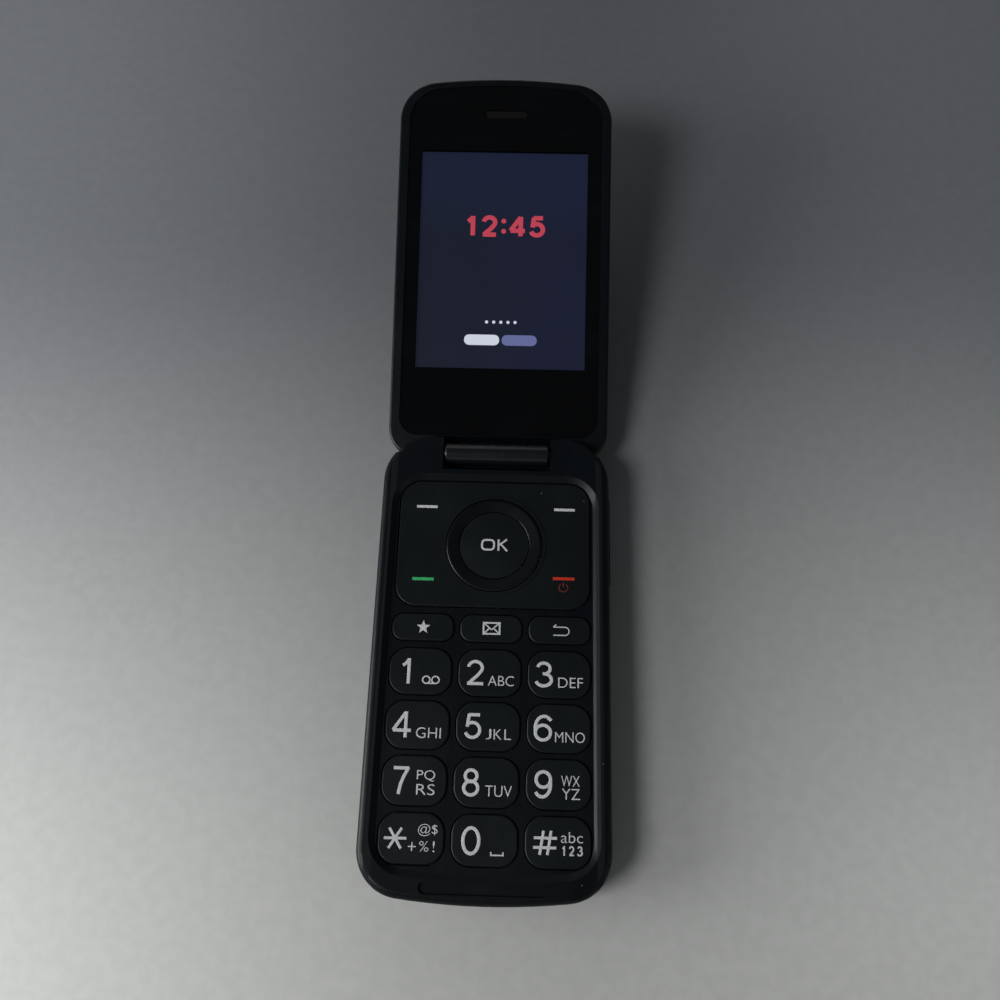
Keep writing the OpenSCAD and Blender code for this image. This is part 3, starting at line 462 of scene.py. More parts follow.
def lit_panel():
    """The lit display: dark blue, a little stronger to the right and towards the top."""
    s = Shader("lit_panel")
    x, along = along_lid(s)
    size = sizes()
    colour = colours().picture
    right = x.ramp(-size.picture_width / 2, size.picture_width / 2)
    top = (along - size.picture_middle).ramp(-size.picture_height / 2, size.picture_height / 2)
    cloud = s.noise(s.here(), 16 * MM, 3)
    grey = (colour[0], colour[1], colour[2] * 0.82)
    blue = (colour[0], colour[1], colour[2] * 1.2)
    light = s.blend(right * cloud.ramp(0.3, 0.7, 0.55, 1), grey, blue)
    light = s.blend(top.ramp(0.6, 1, 0, 0.6), light, (colour[0] * 1.1, colour[1] * 1.25, colour[2] * 1.6))
    gap = PANEL_PITCH * 0.12
    lines = ((x % PANEL_PITCH) > gap) * ((along % PANEL_PITCH) > gap)
    light = s.blend(lines, times(colour, 0.55), light)
    light = s.blend(inside_picture(x, along, 0.02 * MM), (0.0, 0.0, 0.0), light)
    return s.finish(Base_Color=(0.002, 0.002, 0.003), Roughness=0.3, Emission_Color=light, Emission_Strength=1.0)


def dark_panel():
    """The outer display, switched off."""
    s = Shader("dark_panel")
    _, along = along_lid(s)
    rows = (along % (0.2 * MM)) > 0.03 * MM
    base = s.blend(rows, (0.003, 0.003, 0.004), (0.006, 0.006, 0.008))
    return s.finish(Base_Color=base, Roughness=0.25 + rows * 0.05)


def circuit_board(name):
    """Solder mask over copper tracks, with bare pads."""
    s = Shader(name)
    here = s.here()
    x = s.axes(here)[0]
    bend = s.noise(here, 9 * MM, 1)
    lane = (x + bend * 6 * MM) % (0.9 * MM)
    tracks = (lane < 0.32 * MM) * (s.noise(here, 5 * MM, 1) > 0.5)
    pads = s.specks(here, 1.6 * MM, 0.3 * MM, 0.35)
    base = s.blend(tracks, (0.012, 0.075, 0.035), (0.03, 0.15, 0.06))
    base = s.blend(pads, base, (0.62, 0.5, 0.24))
    return s.finish(
        Base_Color=base,
        Metallic=pads,
        Roughness=0.35 + pads * 0.1,
        Normal=s.bump(tracks + pads, 0.02 * MM),
    )


def gauze(name, colour, pitch):
    """A dark screen with round holes in staggered rows."""
    s = Shader(name)
    x, y, _ = s.axes(s.here())
    row = (y / pitch).math("FLOOR") % 2
    across = ((x + row * (pitch / 2)) % pitch) - pitch / 2
    down = (y % pitch) - pitch / 2
    hole = (across * across + down * down).math("SQRT") < pitch * 0.33
    base = s.blend(hole, colour, (0.001, 0.001, 0.001))
    glints = s.noise(s.here(), 0.7 * MM, 2).ramp(0.55, 0.72)
    base = s.blend(glints * (1 - hole), base, times(colour, 3))
    return s.finish(Base_Color=base, Metallic=0.6, Roughness=0.4 + hole * 0.4, Normal=s.bump(1 - hole, 0.03 * MM))


def wrapped_cell():
    """The battery's film wrap: satin film with a glossier printed panel and a sealed seam."""
    s = Shader("battery_wrap")
    here = s.here()
    x, y, _ = s.axes(here)
    centre = middle("battery")
    across, along = abs(x - centre.x), abs(y - centre.y)
    half_width, half_length, line = 15 * MM, 22 * MM, 0.4 * MM
    panel = (across < half_width) * (along < half_length)
    frame_line = (across < half_width + line) * (along < half_length + line) * (1 - panel)
    wrinkle = s.noise(s.stretched(here, (1.0, 0.3, 1.0)), 3 * MM, 3)
    base = s.blend(panel, (0.03, 0.033, 0.036), (0.05, 0.055, 0.06))
    base = s.blend(frame_line, base, (0.22, 0.23, 0.24))
    return s.finish(
        Base_Color=base,
        Roughness=0.42 - panel * 0.14 + (wrinkle - 0.5) * 0.1,
        Normal=s.bump(wrinkle, 0.03 * MM),
    )


def clear_film(name, colour, rough):
    """Stiff translucent film with pressed rounds, where the key domes lie."""
    s = Shader(name)
    here = s.here()
    cloud = s.noise(here, 2.5 * MM, 3)
    rounds = s.specks(here, 7 * MM, 1.6 * MM, 0.8)
    base = s.blend(cloud.ramp(0.3, 0.7), times(colour, 0.8), colour)
    base = s.blend(rounds * 0.5, base, times(colour, 1.15))
    return s.finish(Base_Color=base, Roughness=rough + (cloud - 0.5) * 0.15, Normal=s.bump(rounds + cloud, 0.02 * MM))


def rim_painted_highlight(x, y, z):
    """Painted highlight: lighter colour along the outer top edges of the keypad half's rim."""
    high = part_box("front_housing")[1]
    height = z.ramp(high.z - 1.1 * MM, high.z - 0.2 * MM) * z.ramp(high.z + 0.1 * MM, high.z - 0.05 * MM)
    side = abs(x).ramp(high.x - 1.4 * MM, high.x - 0.5 * MM)
    return side * height * 0.6


def well_matt(x, y, z):
    """Lower half of the key well's sloped side walls, coarser than the rim."""
    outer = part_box("front_housing")[1].x - 1.75 * MM
    inner = outer - 1.7 * MM
    return abs(x).ramp(outer, outer - 0.3 * MM) * abs(x).ramp(inner, inner + 0.4 * MM)


def cover_wear(x, y, z):
    """Long edges of the lid's outer cover."""
    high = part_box("lid_cover")[1]
    return abs(x).ramp(high.x - 1.2 * MM, high.x - 0.4 * MM) * 0.35


# ---------- Modelling ----------


def deselect():
    if bpy.context.mode != "OBJECT":
        bpy.ops.object.mode_set(mode="OBJECT")
    bpy.ops.object.select_all(action="DESELECT")


def choose(*things):
    """Selects only these, with the first one active."""
    deselect()
    for thing in things:
        thing.select_set(True)
    bpy.context.view_layer.objects.active = things[0]


def settle(thing):
    """Moves a piece's place, turn and scale into its mesh."""
    choose(thing)
    bpy.ops.object.transform_apply(location=True, rotation=True, scale=True)
    return thing


def joined(name, parts):
    """Makes one piece of several."""
    choose(*parts)
    if len(parts) > 1:
        bpy.ops.object.join()
    made = bpy.context.view_layer.objects.active
    made.name = name
    made.data.name = name
    return made


def placed(thing, turn):
    """Puts a piece that was made flat into a turned frame, such as the lid's."""
    thing.matrix_world = turn
    return settle(thing)


def edit(thing, pick, *steps):
    """Selects in edit mode the edges, faces or vertices that pick gives, and runs the steps."""
    choose(thing)
    bpy.ops.object.mode_set(mode="EDIT")
    bpy.ops.mesh.select_mode(type={"edges": "EDGE", "polygons": "FACE", "vertices": "VERT"}[pick[0]])
    bpy.ops.mesh.select_all(action="DESELECT")
    bpy.ops.object.mode_set(mode="OBJECT")
    for element in getattr(thing.data, pick[0]):
        element.select = pick[1](element)
    bpy.ops.object.mode_set(mode="EDIT")
    for step, options in steps:
        step(**options)
    bpy.ops.object.mode_set(mode="OBJECT")
    return thing


def upright(thing):
    """A test for edges that run along Z."""

    def test(edge):
        a, b = (thing.data.vertices[k].co for k in edge.vertices)
        return abs(a.z - b.z) > 0.9 * (a - b).length

    return test


def bar(x0, x1, y0, y1, z0, z1, rounding=0.35):
    """A flat bar with rounded corners. Rounding is a share of its narrower side."""
    deselect()
    bpy.ops.mesh.primitive_cube_add(size=1, location=((x0 + x1) / 2, (y0 + y1) / 2, (z0 + z1) / 2))
    made = bpy.context.object
    made.scale = (x1 - x0, y1 - y0, z1 - z0)
    settle(made)
    offset = rounding * min(x1 - x0, y1 - y0)
    return edit(
        made,
        ("edges", upright(made)),
        (bpy.ops.mesh.bevel, {"offset": offset, "segments": 3, "affect": "EDGES"}),
    )


def hoop(radius, width, z0, z1, steps):
    """A flat ring round the origin."""
    deselect()
    bpy.ops.mesh.primitive_torus_add(
        location=(0, 0, 0), major_radius=radius, minor_radius=width / 2, major_segments=steps, minor_segments=8
    )
    made = bpy.context.object
    made.scale = (1, 1, (z1 - z0) / width)
    made.location = (0, 0, (z0 + z1) / 2)
    return settle(made)


def dot(x, y, radius, z0, z1):
    """A round mark whose top has an inset rim."""
    deselect()
    bpy.ops.mesh.primitive_cylinder_add(
        vertices=24, radius=radius, depth=z1 - z0, location=(x, y, (z0 + z1) / 2)
    )
    made = settle(bpy.context.object)
    return edit(
        made,
        ("polygons", lambda face: face.normal.z > 0.9),
        (bpy.ops.mesh.inset, {"thickness": radius * 0.15}),
    )


def wide_round_letter(x0, x1, y0, y1, t, z0, z1):
    """A wide O with rounded corners: a bar whose inset middle is bridged into a hole."""
    made = bar(x0, x1, y0, y1, z0, z1, rounding=0.36)

    def flat(face):
        return abs(face.normal.z) > 0.9

    def central(face):
        return flat(face) and math.hypot(face.center.x - (x0 + x1) / 2, face.center.y - (y0 + y1) / 2) < 0.2 * t

    edit(made, ("polygons", flat), (bpy.ops.mesh.inset, {"thickness": t}))
    return [edit(made, ("polygons", central), (bpy.ops.mesh.bridge_edge_loops, {}))]


def lettering(label, x0, x1, y0, y1, z0, z1):
    """Raised letters that fill a box."""
    deselect()
    bpy.ops.object.text_add(location=(0, 0, 0))
    made = bpy.context.object
    made.data.body = label
    made.data.resolution_u = 5
    made.data.offset = -0.008  # thins the letters a little
    made.data.extrude = 0.1
    bpy.ops.object.convert(target="MESH")
    made = bpy.context.object
    edit(
        made,
        ("polygons", lambda face: True),
        (bpy.ops.mesh.remove_doubles, {"threshold": 0.0004}),
        (bpy.ops.mesh.normals_make_consistent, {"inside": False}),
    )
    places = [v.co for v in made.data.vertices]
    low = Vector([min(p[k] for p in places) for k in range(3)])
    high = Vector([max(p[k] for p in places) for k in range(3)])
    made.scale = ((x1 - x0) / (high.x - low.x), (y1 - y0) / (high.y - low.y), (z1 - z0) / (high.z - low.z))
    made.location = (x0 - low.x * made.scale.x, y0 - low.y * made.scale.y, z0 - low.z * made.scale.z)
    return settle(made)


def five_point_star(x0, x1, y0, y1, z0, z1):
    """A star that fills a box: a plate of ten corners, with every second one drawn in."""
    width, height, drop = 0.951, 0.905, 0.0475  # of a star of radius 0.5; drop is its centre below its middle
    deselect()
    bpy.ops.mesh.primitive_circle_add(vertices=10, radius=0.5, fill_type="NGON")
    made = bpy.context.object
    tips = {v.index for v in made.data.vertices if v.index % 2 == 0}
    edit(
        made,
        ("vertices", lambda v: v.index not in tips),
        (bpy.ops.transform.resize, {"value": (0.42, 0.42, 1), "center_override": (0, 0, 0)}),
        (bpy.ops.mesh.select_all, {"action": "SELECT"}),
        (bpy.ops.mesh.extrude_region_move, {"TRANSFORM_OT_translate": {"value": (0, 0, 1)}}),
        (bpy.ops.mesh.select_all, {"action": "SELECT"}),
        (bpy.ops.mesh.normals_make_consistent, {"inside": False}),
    )
    made.scale = ((x1 - x0) / width, (y1 - y0) / height, z1 - z0)
    made.location = ((x0 + x1) / 2, (y0 + y1) / 2 - drop * (y1 - y0), z0)
    return settle(made)


def stroke(points, width, z0, z1, closed=False):
    """A drawn line of even width through points, slightly domed as printed ink is."""
    deselect()
    bpy.ops.curve.primitive_bezier_curve_add(location=(0, 0, 0))
    made = bpy.context.object
    made.data.splines.clear()
    line = made.data.splines.new("POLY")
    line.points.add(len(points) - 1)
    for spot, (x, y) in zip(line.points, points):
        spot.co = (x, y, 0, 1)
    line.use_cyclic_u = closed
    made.data.dimensions = "3D"
    made.data.bevel_depth = width / 2
    made.data.bevel_resolution = 2
    made.data.use_fill_caps = True
    bpy.ops.object.convert(target="MESH")
    made = bpy.context.object
    made.scale = (1, 1, (z1 - z0) / width)
    made.location = (0, 0, (z0 + z1) / 2)
    return settle(made)


def arc(x, y, rx, ry, start, end, steps=22):
    """Points of an elliptic arc, with angles in degrees."""
    turns = [math.radians(start + (end - start) * k / steps) for k in range(steps + 1)]
    return [(x + rx * math.cos(a), y + ry * math.sin(a)) for a in turns]


def loop(x, y, rx, ry, steps=36):
    """Points of an ellipse, to be closed."""
    return arc(x, y, rx, ry, 0, 360 * (steps - 1) / steps, steps - 1)


# Centre lines of the digits in a box of side 1. A line whose first word is "loop" is closed.
SIX = [
    ("loop", loop(0.5, 0.31, 0.48, 0.31)),
    ("line", arc(0.57, 0.52, 0.55, 0.48, 38, 180) + [(0.02, 0.42), (0.03, 0.3)]),
]
DIGITS = {
    "0": [("loop", loop(0.5, 0.5, 0.5, 0.5, 48))],
    "1": [("line", [(0.0, 0.74), (0.4, 0.82), (0.75, 0.92), (0.95, 1.02)]), ("line", [(1.0, 1.06), (1.0, -0.06)])],
    "2": [
        ("line", arc(0.5, 0.71, 0.46, 0.29, 172, -15) + [(0.86, 0.54), (0.66, 0.37), (0.35, 0.18), (0.06, -0.01)]),
        ("line", [(-0.02, 0.0), (1.04, 0.0)]),
    ],
    "3": [("line", arc(0.46, 0.755, 0.42, 0.245, 165, -84)), ("line", arc(0.46, 0.265, 0.52, 0.265, 98, -165))],
    "4": [
        ("line", [(0.72, 1.03), (-0.03, 0.25)]),
        ("line", [(-0.04, 0.25), (1.06, 0.25)]),
        ("line", [(0.74, 1.06), (0.74, -0.06)]),
    ],
    "5": [
        ("line", [(0.95, 1.0), (0.18, 1.0)]),
        ("line", [(0.22, 1.03), (0.1, 0.46)]),
        ("line", arc(0.47, 0.33, 0.5, 0.33, 142, -160)),
    ],
    "6": SIX,
    "7": [("line", [(-0.04, 1.0), (1.03, 1.0)]), ("line", [(0.99, 1.02), (0.72, 0.7), (0.5, 0.36), (0.37, -0.06)])],
    "8": [("loop", loop(0.5, 0.765, 0.41, 0.235)), ("loop", loop(0.5, 0.275, 0.49, 0.275))],
    "9": [(kind, [(1 - x, 1 - y) for x, y in points]) for kind, points in SIX],
}


def digit(label, x0, x1, y0, y1, z0, z1, width):
    """A digit that fills a box, as a list of strokes."""
    w, h = x1 - x0 - width, y1 - y0 - width
    return [
        stroke([(x0 + width / 2 + x * w, y0 + width / 2 + y * h) for x, y in points], width, z0, z1, kind == "loop")
        for kind, points in DIGITS[label]
    ]


def symbol(kind, x0, x1, y0, y1, z0, z1):
    """The drawn symbols, as lists of parts."""
    t = sizes().stroke
    xm, ym = (x0 + x1) / 2, (y0 + y1) / 2
    w, h = x1 - x0, y1 - y0

    def lines(width, *paths):
        return [stroke(path, width, z0, z1) for path in paths]

    if kind == "tape":
        r = h / 2 - t * 0.4
        reels = [stroke(loop(x, ym, r * 1.05, r), t * 0.85, z0, z1, True) for x in (x0 + r + t / 2, x1 - r - t / 2)]
        return reels + lines(t * 0.85, [(x0 + r, ym - r), (x1 - r, ym - r)])
    if kind == "asterisk":
        reach = 0.51 * h
        spread = [(reach * math.cos(math.radians(a)), reach * math.sin(math.radians(a))) for a in (57, 123)]
        return lines(t * 1.5, [(x0, ym), (x1, ym)], *[[(xm - dx, ym - dy), (xm + dx, ym + dy)] for dx, dy in spread])
    if kind == "hash":
        lean, slip = 0.08 * h, 0.03 * w
        posts = [[(x0 + w * at - lean, y0), (x0 + w * at + lean, y1)] for at in (0.36, 0.68)]
        rails = [[(x0 + shift, y0 + h * at), (x1 + shift - slip, y0 + h * at)] for at, shift in ((0.3, 0), (0.7, slip))]
        return lines(t * 1.55, *posts, *rails)
    if kind == "space":
        edge = t * 0.4
        ends = [[(x, y0), (x, y1)] for x in (x0 + edge, x1 - edge)]
        return lines(t * 0.8, [(x0, y0 + edge), (x1, y0 + edge)], *ends)
    if kind == "star":
        return [five_point_star(x0, x1, y0, y1, z0, z1)]
    if kind == "envelope":
        left, right, foot, head = x0 + t / 2, x1 - t / 2, y0 + t / 2, y1 - t / 2
        rails = [[(x0, y), (x1, y)] for y in (foot, head)]
        posts = [[(x, y0), (x, y1)] for x in (left, right)]
        flap = [[(x, head), (xm, ym - h * 0.1)] for x in (left, right)]
        folds = [[(left, foot), (xm - w * 0.12, ym)], [(right, foot), (xm + w * 0.12, ym)]]
        return lines(t * 1.05, *rails, *posts) + lines(t * 0.8, *flap, *folds)
    if kind == "hook":
        thin = t * 0.7
        r = 0.36 * h
        yc = y0 + thin / 2 + r
        bend = arc(x1 - r - thin / 2, yc, r, r, 90, -90)
        left = x0 + 0.04 * w
        return lines(thin, [(left, yc + r)] + bend + [(left, yc - r)], [(left, yc + r), (x0 + w * 0.2, y1)])
    raise ValueError("no symbol is named " + kind)


def dressed(thing, body, material):
    """Gives a piece its finish and the body that carries it."""
    thing.data.materials.clear()
    thing.data.materials.append(material)
    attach(thing, body)
    return thing


def cover(node, material):
    """Gives a frame node its finish."""
    for holder in NODES[node].material_slots:
        holder.material = material


# ---------- Operators ----------


class PHONE_OT_key_prints(bpy.types.Operator):
    """Prints the numbers, letters and symbols on the fifteen keys"""

    bl_idname = "phone.key_prints"
    bl_label = "Key prints"

    def execute(self, context):
        grey = ink("legend_ink", colours().ink)
        z0, z1 = KEY_TOP - sizes().print_sink, KEY_TOP + sizes().print_rise
        for node, marks in KEY_PRINTS.items():
            centre = middle(node)
            parts = []
            for kind, label, x0, x1, y0, y1 in marks:
                box = (centre.x + x0 * MM, centre.x + x1 * MM, centre.y + y0 * MM, centre.y + y1 * MM, z0, z1)
                if kind == "text":
                    parts.append(lettering(label, *box))
                elif label:
                    parts += digit(label, *box, sizes().digit_stroke * (1 if kind == "digit" else 0.45))
                else:
                    parts += symbol(kind, *box)
            dressed(joined("print_" + node, parts), node, grey)
        return {"FINISHED"}


class PHONE_OT_plate_prints(bpy.types.Operator):
    """Prints the bars of the function plate, the power symbol and the centre button's letters"""

    bl_idname = "phone.plate_prints"
    bl_label = "Plate prints"

    def execute(self, context):
        z0, z1 = KEY_TOP - sizes().print_sink, KEY_TOP + sizes().print_rise
        inks = {name: ink(name + "_ink", getattr(colours(), name)) for name in ("ink", "call", "end", "power")}
        for name, colour, x0, x1, d0, d1 in PLATE_BARS:
            made = bar(x0 * MM, x1 * MM, HINGE.y - d1 * MM, HINGE.y - d0 * MM, z0, z1, rounding=0.12)
            made.name = name
            dressed(made, "function_plate", inks[colour])
        # Power symbol: an open ring and a short bar
        x, y = POWER_X * MM, HINGE.y - POWER_FROM_HINGE * MM
        radius, line = POWER_RADIUS * MM, POWER_LINE * MM
        ring = stroke(arc(x, y, radius, radius, 122, 418, 40), line, z0, z1)
        stem = stroke([(x, y + end * MM) for end in POWER_STEM], line, z0, z1)
        dressed(joined("power_symbol", [ring, stem]), "function_plate", inks["power"])
        self.centre_letters(inks["ink"])
        return {"FINISHED"}

    def centre_letters(self, grey):
        """Wide letters that follow the crown of the centre button."""
        centre = middle("ok_button")
        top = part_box("ok_button")[1].z
        z0, z1 = top - sizes().print_sink, top + sizes().print_rise
        y0, y1 = centre.y - LETTER_HALF_HEIGHT * MM, centre.y + LETTER_HALF_HEIGHT * MM
        t = LETTER_LINE * MM
        x = centre.x + LETTER_SHIFT * MM
        stem = x + LETTER_STEM * MM
        parts = wide_round_letter(x + ROUND_LETTER[0] * MM, x + ROUND_LETTER[1] * MM, y0, y1, t, z0, z1)
        parts.append(bar(stem, stem + t, y0, y1, z0, z1, rounding=0.08))
        for (inner_x, inner_y, outer_x), outer_y in ((UPPER_LEG, y1), (LOWER_LEG, y0)):
            leg = [(x + inner_x * MM, centre.y + inner_y * MM), (x + outer_x * MM, outer_y)]
            parts.append(stroke(leg, t * 1.05, z0, z1))
        made = joined("print_ok_button", parts)
        for vertex in made.data.vertices:
            dx, dy = vertex.co.x - centre.x, vertex.co.y - centre.y
            vertex.co.z -= (dx * dx + dy * dy) / (2 * sizes().crown_radius)
        dressed(made, "ok_button", grey)


class PHONE_OT_picture_marks(bpy.types.Operator):
    """Adds the lit marks of the display: a clock, a row of dots and a bar"""

    bl_idname = "phone.picture_marks"
    bl_label = "Picture marks"

    def execute(self, context):
        z0, z1 = DISPLAY_FACE - 0.02 * MM, DISPLAY_FACE + 0.05 * MM
        glow = colours().glow
        finishes = {
            "digits": glowing("lit_digits", colours().digits),
            "bright": glowing("lit_marks", glow),
            "dim": glowing("lit_dim_marks", (glow[0] * 0.2, glow[1] * 0.22, glow[2] * 0.42)),
        }
        rows = [
            ("clock_digits", "digits", self.clock(z0, z1)),
            ("waiting_dots", "bright", [dot(x * MM, DOT_HEIGHT * MM, DOT_RADIUS * MM, z0, z1) for x in DOT_PLACES]),
            ("progress_done", "bright", [self.progress_bar(*PROGRESS_DONE, z0, z1)]),
            ("progress_rest", "dim", [self.progress_bar(*PROGRESS_REST, z0, z1)]),
        ]
        for name, finish, parts in rows:
            dressed(placed(joined(name, parts), LID), "lid", finishes[finish])
        return {"FINISHED"}

    def clock(self, z0, z1):
        parts = [dot(COLON_X * MM, y * MM, COLON_RADIUS * MM, z0, z1) for y in COLON_HEIGHTS]
        for label, x0, x1 in CLOCK_DIGITS:
            parts += digit(label, x0 * MM, x1 * MM, CLOCK_FOOT * MM, CLOCK_HEAD * MM, z0, z1, CLOCK_LINE * MM)
        return parts

    def progress_bar(self, x0, x1, z0, z1):
        return bar(x0 * MM, x1 * MM, PROGRESS_FOOT * MM, PROGRESS_HEAD * MM, z0, z1, rounding=0.46)


class PHONE_OT_socket_fittings(bpy.types.Operator):
    """Adds the headset socket's collar, and the contacts on the charging socket's tongue"""

    bl_idname = "phone.socket_fittings"
    bl_label = "Socket fittings"

    def execute(self, context):
        bright = metal("socket_plating", (0.55, 0.56, 0.57), 0.28)
        gold = metal("contact_plating", (0.75, 0.53, 0.22), 0.3)
        jack = middle("headset_jack")
        radius, width = 2.06 * MM, 0.34 * MM
        collar = hoop(radius, width, -0.1 * MM, 0.12 * MM, 64)
        collar.rotation_euler = (0, -math.pi / 2, 0)
        collar.location = (SIDE_WALL + 0.42 * MM, jack.y, jack.z)
        settle(collar)
        collar.name = "headset_collar"
        dressed(collar, "base", bright)
        low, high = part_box("usb_tongue")
        y = (low.y + high.y) / 2
        start, end, pitch, half_width = 0.25, 3.2, 0.8, 0.17
        strips = [
            bar(
                low.x + start * MM, low.x + end * MM,
                y + (k * pitch - half_width) * MM, y + (k * pitch + half_width) * MM,
                low.z - 0.05 * MM, low.z + 0.02 * MM,
            )
            for k in (-2, -1, 0, 1, 2)
        ]
        dressed(joined("charging_contacts", strips), "base", gold)
        return {"FINISHED"}


class PHONE_OT_sound_screens(bpy.types.Operator):
    """Adds the screen behind the loudspeaker slots"""

    bl_idname = "phone.sound_screens"
    bl_label = "Sound screens"

    def execute(self, context):
        low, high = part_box("loudspeaker")
        screen = bar(
            low.x + 0.5 * MM, high.x - 0.5 * MM, low.y + 0.5 * MM, high.y - 0.5 * MM,
            low.z - 0.09 * MM, low.z - 0.02 * MM, rounding=0.2,
        )
        screen.name = "loudspeaker_screen"
        dressed(screen, "base", gauze("speaker_gauze", (0.03, 0.032, 0.034), 0.42 * MM))
        return {"FINISHED"}


class PHONE_OT_camera_trim(bpy.types.Operator):
    """Adds the ring round the camera and the rings of its lens"""

    bl_idname = "phone.camera_trim"
    bl_label = "Camera trim"

    def execute(self, context):
        bright = metal("camera_ring_plating", (0.3, 0.31, 0.32), 0.22)
        centre = LID.inverted() @ middle("camera_lens")
        trim = hoop(2.86 * MM, 0.26 * MM, CAMERA_FACE - 0.1 * MM, CAMERA_FACE + 0.08 * MM, 72)
        pupil = hoop(1.15 * MM, 0.3 * MM, CAMERA_FACE - 0.02 * MM, CAMERA_FACE + 0.02 * MM, 56)
        coating = dark_glass("pupil_coating", 0.8)
        for made, name, finish in ((trim, "camera_ring", bright), (pupil, "camera_pupil_ring", coating)):
            made.location = (centre.x, centre.y, 0)
            settle(made)
            made.name = name
            dressed(placed(made, LID), "lid", finish)
        return {"FINISHED"}


class PHONE_OT_finishes(bpy.types.Operator):
    """Gives every node of the frame its finish"""

    bl_idname = "phone.finishes"
    bl_label = "Finishes"

    def execute(self, context):
        tone = colours()
        keys = [n for n in NODES if n.startswith("key_")]
        table = [
            (
                ["front_housing"],
                # The keypad rim gets a painted highlight along its outer top edges.
                moulded("front_moulding", tone.moulding, 0.38, specular=0.15, wear_and_highlight=rim_painted_highlight, matt=well_matt),
            ),
            (["lid_frame"], moulded("lid_frame_moulding", tone.moulding, 0.34, grain=0.18 * MM, specular=0.2)),
            (
                ["rear_housing", "battery_cover"],
                moulded("rear_moulding", times(tone.moulding, 1.1), 0.5, grain=0.3 * MM, depth=0.012 * MM),
            ),
            (["lid_cover"], moulded("lid_cover_coating", times(tone.moulding, 0.9), 0.36, coat=0.25, wear_and_highlight=cover_wear)),
            (["volume_rocker"], moulded("rocker_moulding", tone.moulding, 0.4)),
            (keys + ["ok_button"], moulded("key_moulding", tone.keys, 0.42, grain=0.16 * MM, dust=0.2)),
            (["function_plate"], moulded("plate_moulding", tone.keys, 0.4, grain=0.16 * MM)),
            (["nav_ring"], moulded("ring_lacquer", tone.ring, 0.34, grain=0.12 * MM, depth=0.002 * MM, specular=0.24)),
            (
                ["hinge_barrel"],
                moulded("barrel_lacquer", tone.barrel, 0.26, grain=0.2 * MM, depth=0.004 * MM, specular=0.4),
            ),
            (["nav_ring_pads", "function_plate_pads"], moulded("silicone", (0.03, 0.03, 0.032), 0.7, depth=0.02 * MM)),
            (["keypad_mat"], moulded("keypad_silicone", (0.035, 0.036, 0.038), 0.65, grain=0.5 * MM, depth=0.02 * MM)),
            (["dome_sheet"], clear_film("dome_film", (0.6, 0.62, 0.63), 0.3)),
            (["main_board", "lid_board"], circuit_board("circuit_board")),
            (["shield_can", "usb_shell"], metal("tinned_steel", (0.6, 0.61, 0.62), 0.32)),
            (["microphone", "side_switches", "vibration_motor"], metal("pressed_steel", (0.5, 0.51, 0.52), 0.35)),
            (["battery"], wrapped_cell()),
            (["battery_contacts"], metal("gold_plating", (0.75, 0.55, 0.25), 0.28)),
            (["sim_card_holder"], metal("holder_steel", (0.55, 0.56, 0.57), 0.38)),
            (["usb_tongue", "headset_jack", "camera_module"], moulded("connector_moulding", (0.02, 0.022, 0.024), 0.5)),
            (["loudspeaker", "earpiece_receiver"], moulded("speaker_frame", (0.03, 0.032, 0.034), 0.55)),
            (["housing_screws"], metal("screw_plating", (0.3, 0.31, 0.32), 0.36)),
            (
                ["hinge_pin", "hinge_bush", "hinge_cartridge"],
                metal("blackened_steel", (0.03, 0.031, 0.033), 0.55, (0.05, 1, 1)),
            ),
            (["hinge_wire"], moulded("wire_sleeve", (0.03, 0.02, 0.016), 0.6)),
            (["display_lens"], picture_glass()),
            (["main_display"], lit_panel()),
            (["outer_lens"], dark_glass("outer_glass")),
            (["outer_display"], dark_panel()),
            (["earpiece_mesh"], gauze("earpiece_gauze", (0.005, 0.0052, 0.0056), 0.3 * MM)),
            (["camera_lens"], dark_glass("camera_glass", 0.8)),
            (
                ["flash_lens"],
                moulded("flash_diffuser", (0.55, 0.53, 0.44), 0.25, grain=0.4 * MM, depth=0.03 * MM, dust=0),
            ),
            (["lid_magnet"], metal("magnet_nickel", (0.42, 0.43, 0.43), 0.3)),
        ]
        for names, material in table:
            for name in names:
                cover(name, material)
        left = set(NODES) - {name for names, _ in table for name in names}
        if left:
            raise RuntimeError("these nodes have no finish: " + ", ".join(sorted(left)))
        return {"FINISHED"}


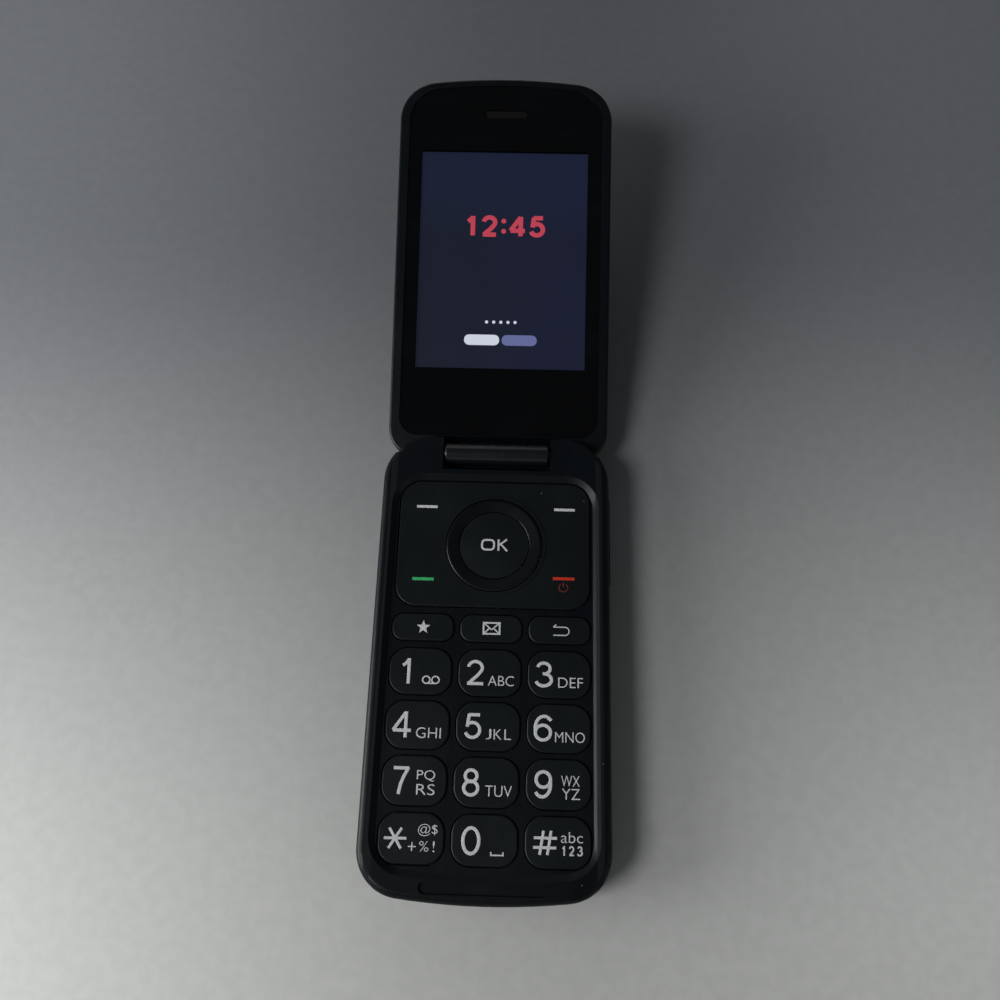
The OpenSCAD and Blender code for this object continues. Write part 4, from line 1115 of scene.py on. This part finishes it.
class PHONE_OT_stage(bpy.types.Operator):
    """Adds the table, the lamps, the sky and the camera"""

    bl_idname = "phone.stage"
    bl_label = "Stage"

    def execute(self, context):
        self.table()
        self.lamps()
        self.sky()
        self.camera()
        context.scene.view_settings.view_transform = "Standard"
        return {"FINISHED"}

    def table(self):
        deselect()
        bpy.ops.mesh.primitive_plane_add(size=4, location=(0, 0, -0.05 * MM))
        floor = bpy.context.object
        floor.name = "table"
        s = Shader("table_top")
        here = s.here()
        x, y, _ = s.axes(here)
        tone = colours().table
        # Painted shade: the floor's colour grows darker and cooler towards the back, standing in for the lamps' light
        # falling off.
        painted_back_shade = (tone[0] * 0.245, tone[1] * 0.255, tone[2] * 0.285)
        base = s.blend(y.ramp(-0.1, 0.13), tone, painted_back_shade)
        # Painted shade: darker from the left to just right of the phone, easing again further right except near the
        # front edge; it stands in for the phone's soft shadow and the lamps' fall-off.
        painted_side_shade = x.ramp(-0.15, 0.01, 0, 0.37) - x.ramp(0.02, 0.13) * y.ramp(-0.13, -0.03, 0, 0.34)
        base = s.blend(painted_side_shade, base, (0, 0, 0))
        fine = s.noise(here, 3 * MM, 3)
        base = s.blend(fine.ramp(0.3, 0.7, 0, 0.06), base, (0, 0, 0))
        floor.data.materials.append(s.finish(Base_Color=base, Roughness=0.75, Specular_IOR_Level=0.15))

    def lamps(self):
        """Soft boxes, with powers set so that a colour renders about as it is written."""
        aim = Vector((0, 0.02, 0.01))
        for name, place, width, level in (
            ("key_lamp", (-0.48, -0.24, 0.62), 0.3, 0.56),
            ("window_lamp", (-0.6, -0.06, 0.17), 0.4, 1.0),
            ("fill_lamp", (0.55, -0.3, 0.45), 0.5, 0.05),
            ("back_lamp", (-0.15, 0.8, 0.45), 0.5, 0.05),
        ):
            place = Vector(place)
            lamp = bpy.data.lights.new(name, "AREA")
            lamp.shape = "DISK"
            lamp.size = width
            lamp.energy = level * math.pi**2 * (place - aim).length_squared
            holder = bpy.data.objects.new(name, lamp)
            holder.location = place
            holder.rotation_euler = (aim - place).to_track_quat("-Z", "Y").to_euler()
            bpy.context.scene.collection.objects.link(holder)

    def sky(self):
        """A plain room: dim overhead, and bright walls low on the left and in front."""
        s = Shader("room", "worlds")
        x, y, z = s.axes(s.node("ShaderNodeTexCoord", out="Generated"))
        wall = x.ramp(0.3, -1.0, 0.12, 0.5) + y.ramp(0.1, -1.0, 0, 0.2)
        low = z.ramp(0.2, 0.75)
        colour = s.blend(low, s.blend(wall, (0, 0, 0), (1, 1, 1)), (0.045, 0.05, 0.055))
        light = s.node("ShaderNodeBackground", None, {"Color": colour, "Strength": 1.0})
        s.node("ShaderNodeOutputWorld", None, {"Surface": light})
        bpy.context.scene.world = s.owner

    def camera(self):
        lens = bpy.data.cameras.new("camera")
        lens.sensor_width = SENSOR_WIDTH
        lens.lens = FOCAL_LENGTH
        lens.clip_start = 0.01
        holder = bpy.data.objects.new("camera", lens)
        stand = Matrix.Translation([part * MM for part in CAMERA_PLACE])
        for axis, angle in CAMERA_TURNS:
            stand = stand @ Matrix.Rotation(math.radians(angle), 4, axis)
        holder.matrix_world = stand
        bpy.context.scene.collection.objects.link(holder)
        bpy.context.scene.camera = holder


class PHONE_PT_looks(bpy.types.Panel):
    """The phone's sizes, colours and steps"""

    bl_label = "Flip Phone"
    bl_idname = "PHONE_PT_looks"
    bl_space_type = "VIEW_3D"
    bl_region_type = "UI"
    bl_category = "Flip Phone"

    def draw(self, context):
        for group in (context.scene.phone_sizes, context.scene.phone_colours):
            box = self.layout.box()
            for name in group.__annotations__:
                box.prop(group, name)
        for step in STEPS:
            self.layout.operator(step.bl_idname)


STEPS = (
    PHONE_OT_finishes,
    PHONE_OT_key_prints,
    PHONE_OT_plate_prints,
    PHONE_OT_picture_marks,
    PHONE_OT_socket_fittings,
    PHONE_OT_sound_screens,
    PHONE_OT_camera_trim,
    PHONE_OT_stage,
)
CLASSES = (PhoneSizes, PhoneColours) + STEPS + (PHONE_PT_looks,)


def register():
    for kind in CLASSES:
        bpy.utils.register_class(kind)
    bpy.types.Scene.phone_sizes = PointerProperty(type=PhoneSizes)
    bpy.types.Scene.phone_colours = PointerProperty(type=PhoneColours)


def unregister():
    del bpy.types.Scene.phone_colours
    del bpy.types.Scene.phone_sizes
    for kind in reversed(CLASSES):
        bpy.utils.unregister_class(kind)


def main():
    register()
    for step in STEPS:
        group, name = step.bl_idname.split(".")
        getattr(getattr(bpy.ops, group), name)()


if __name__ == "__main__":
    main()
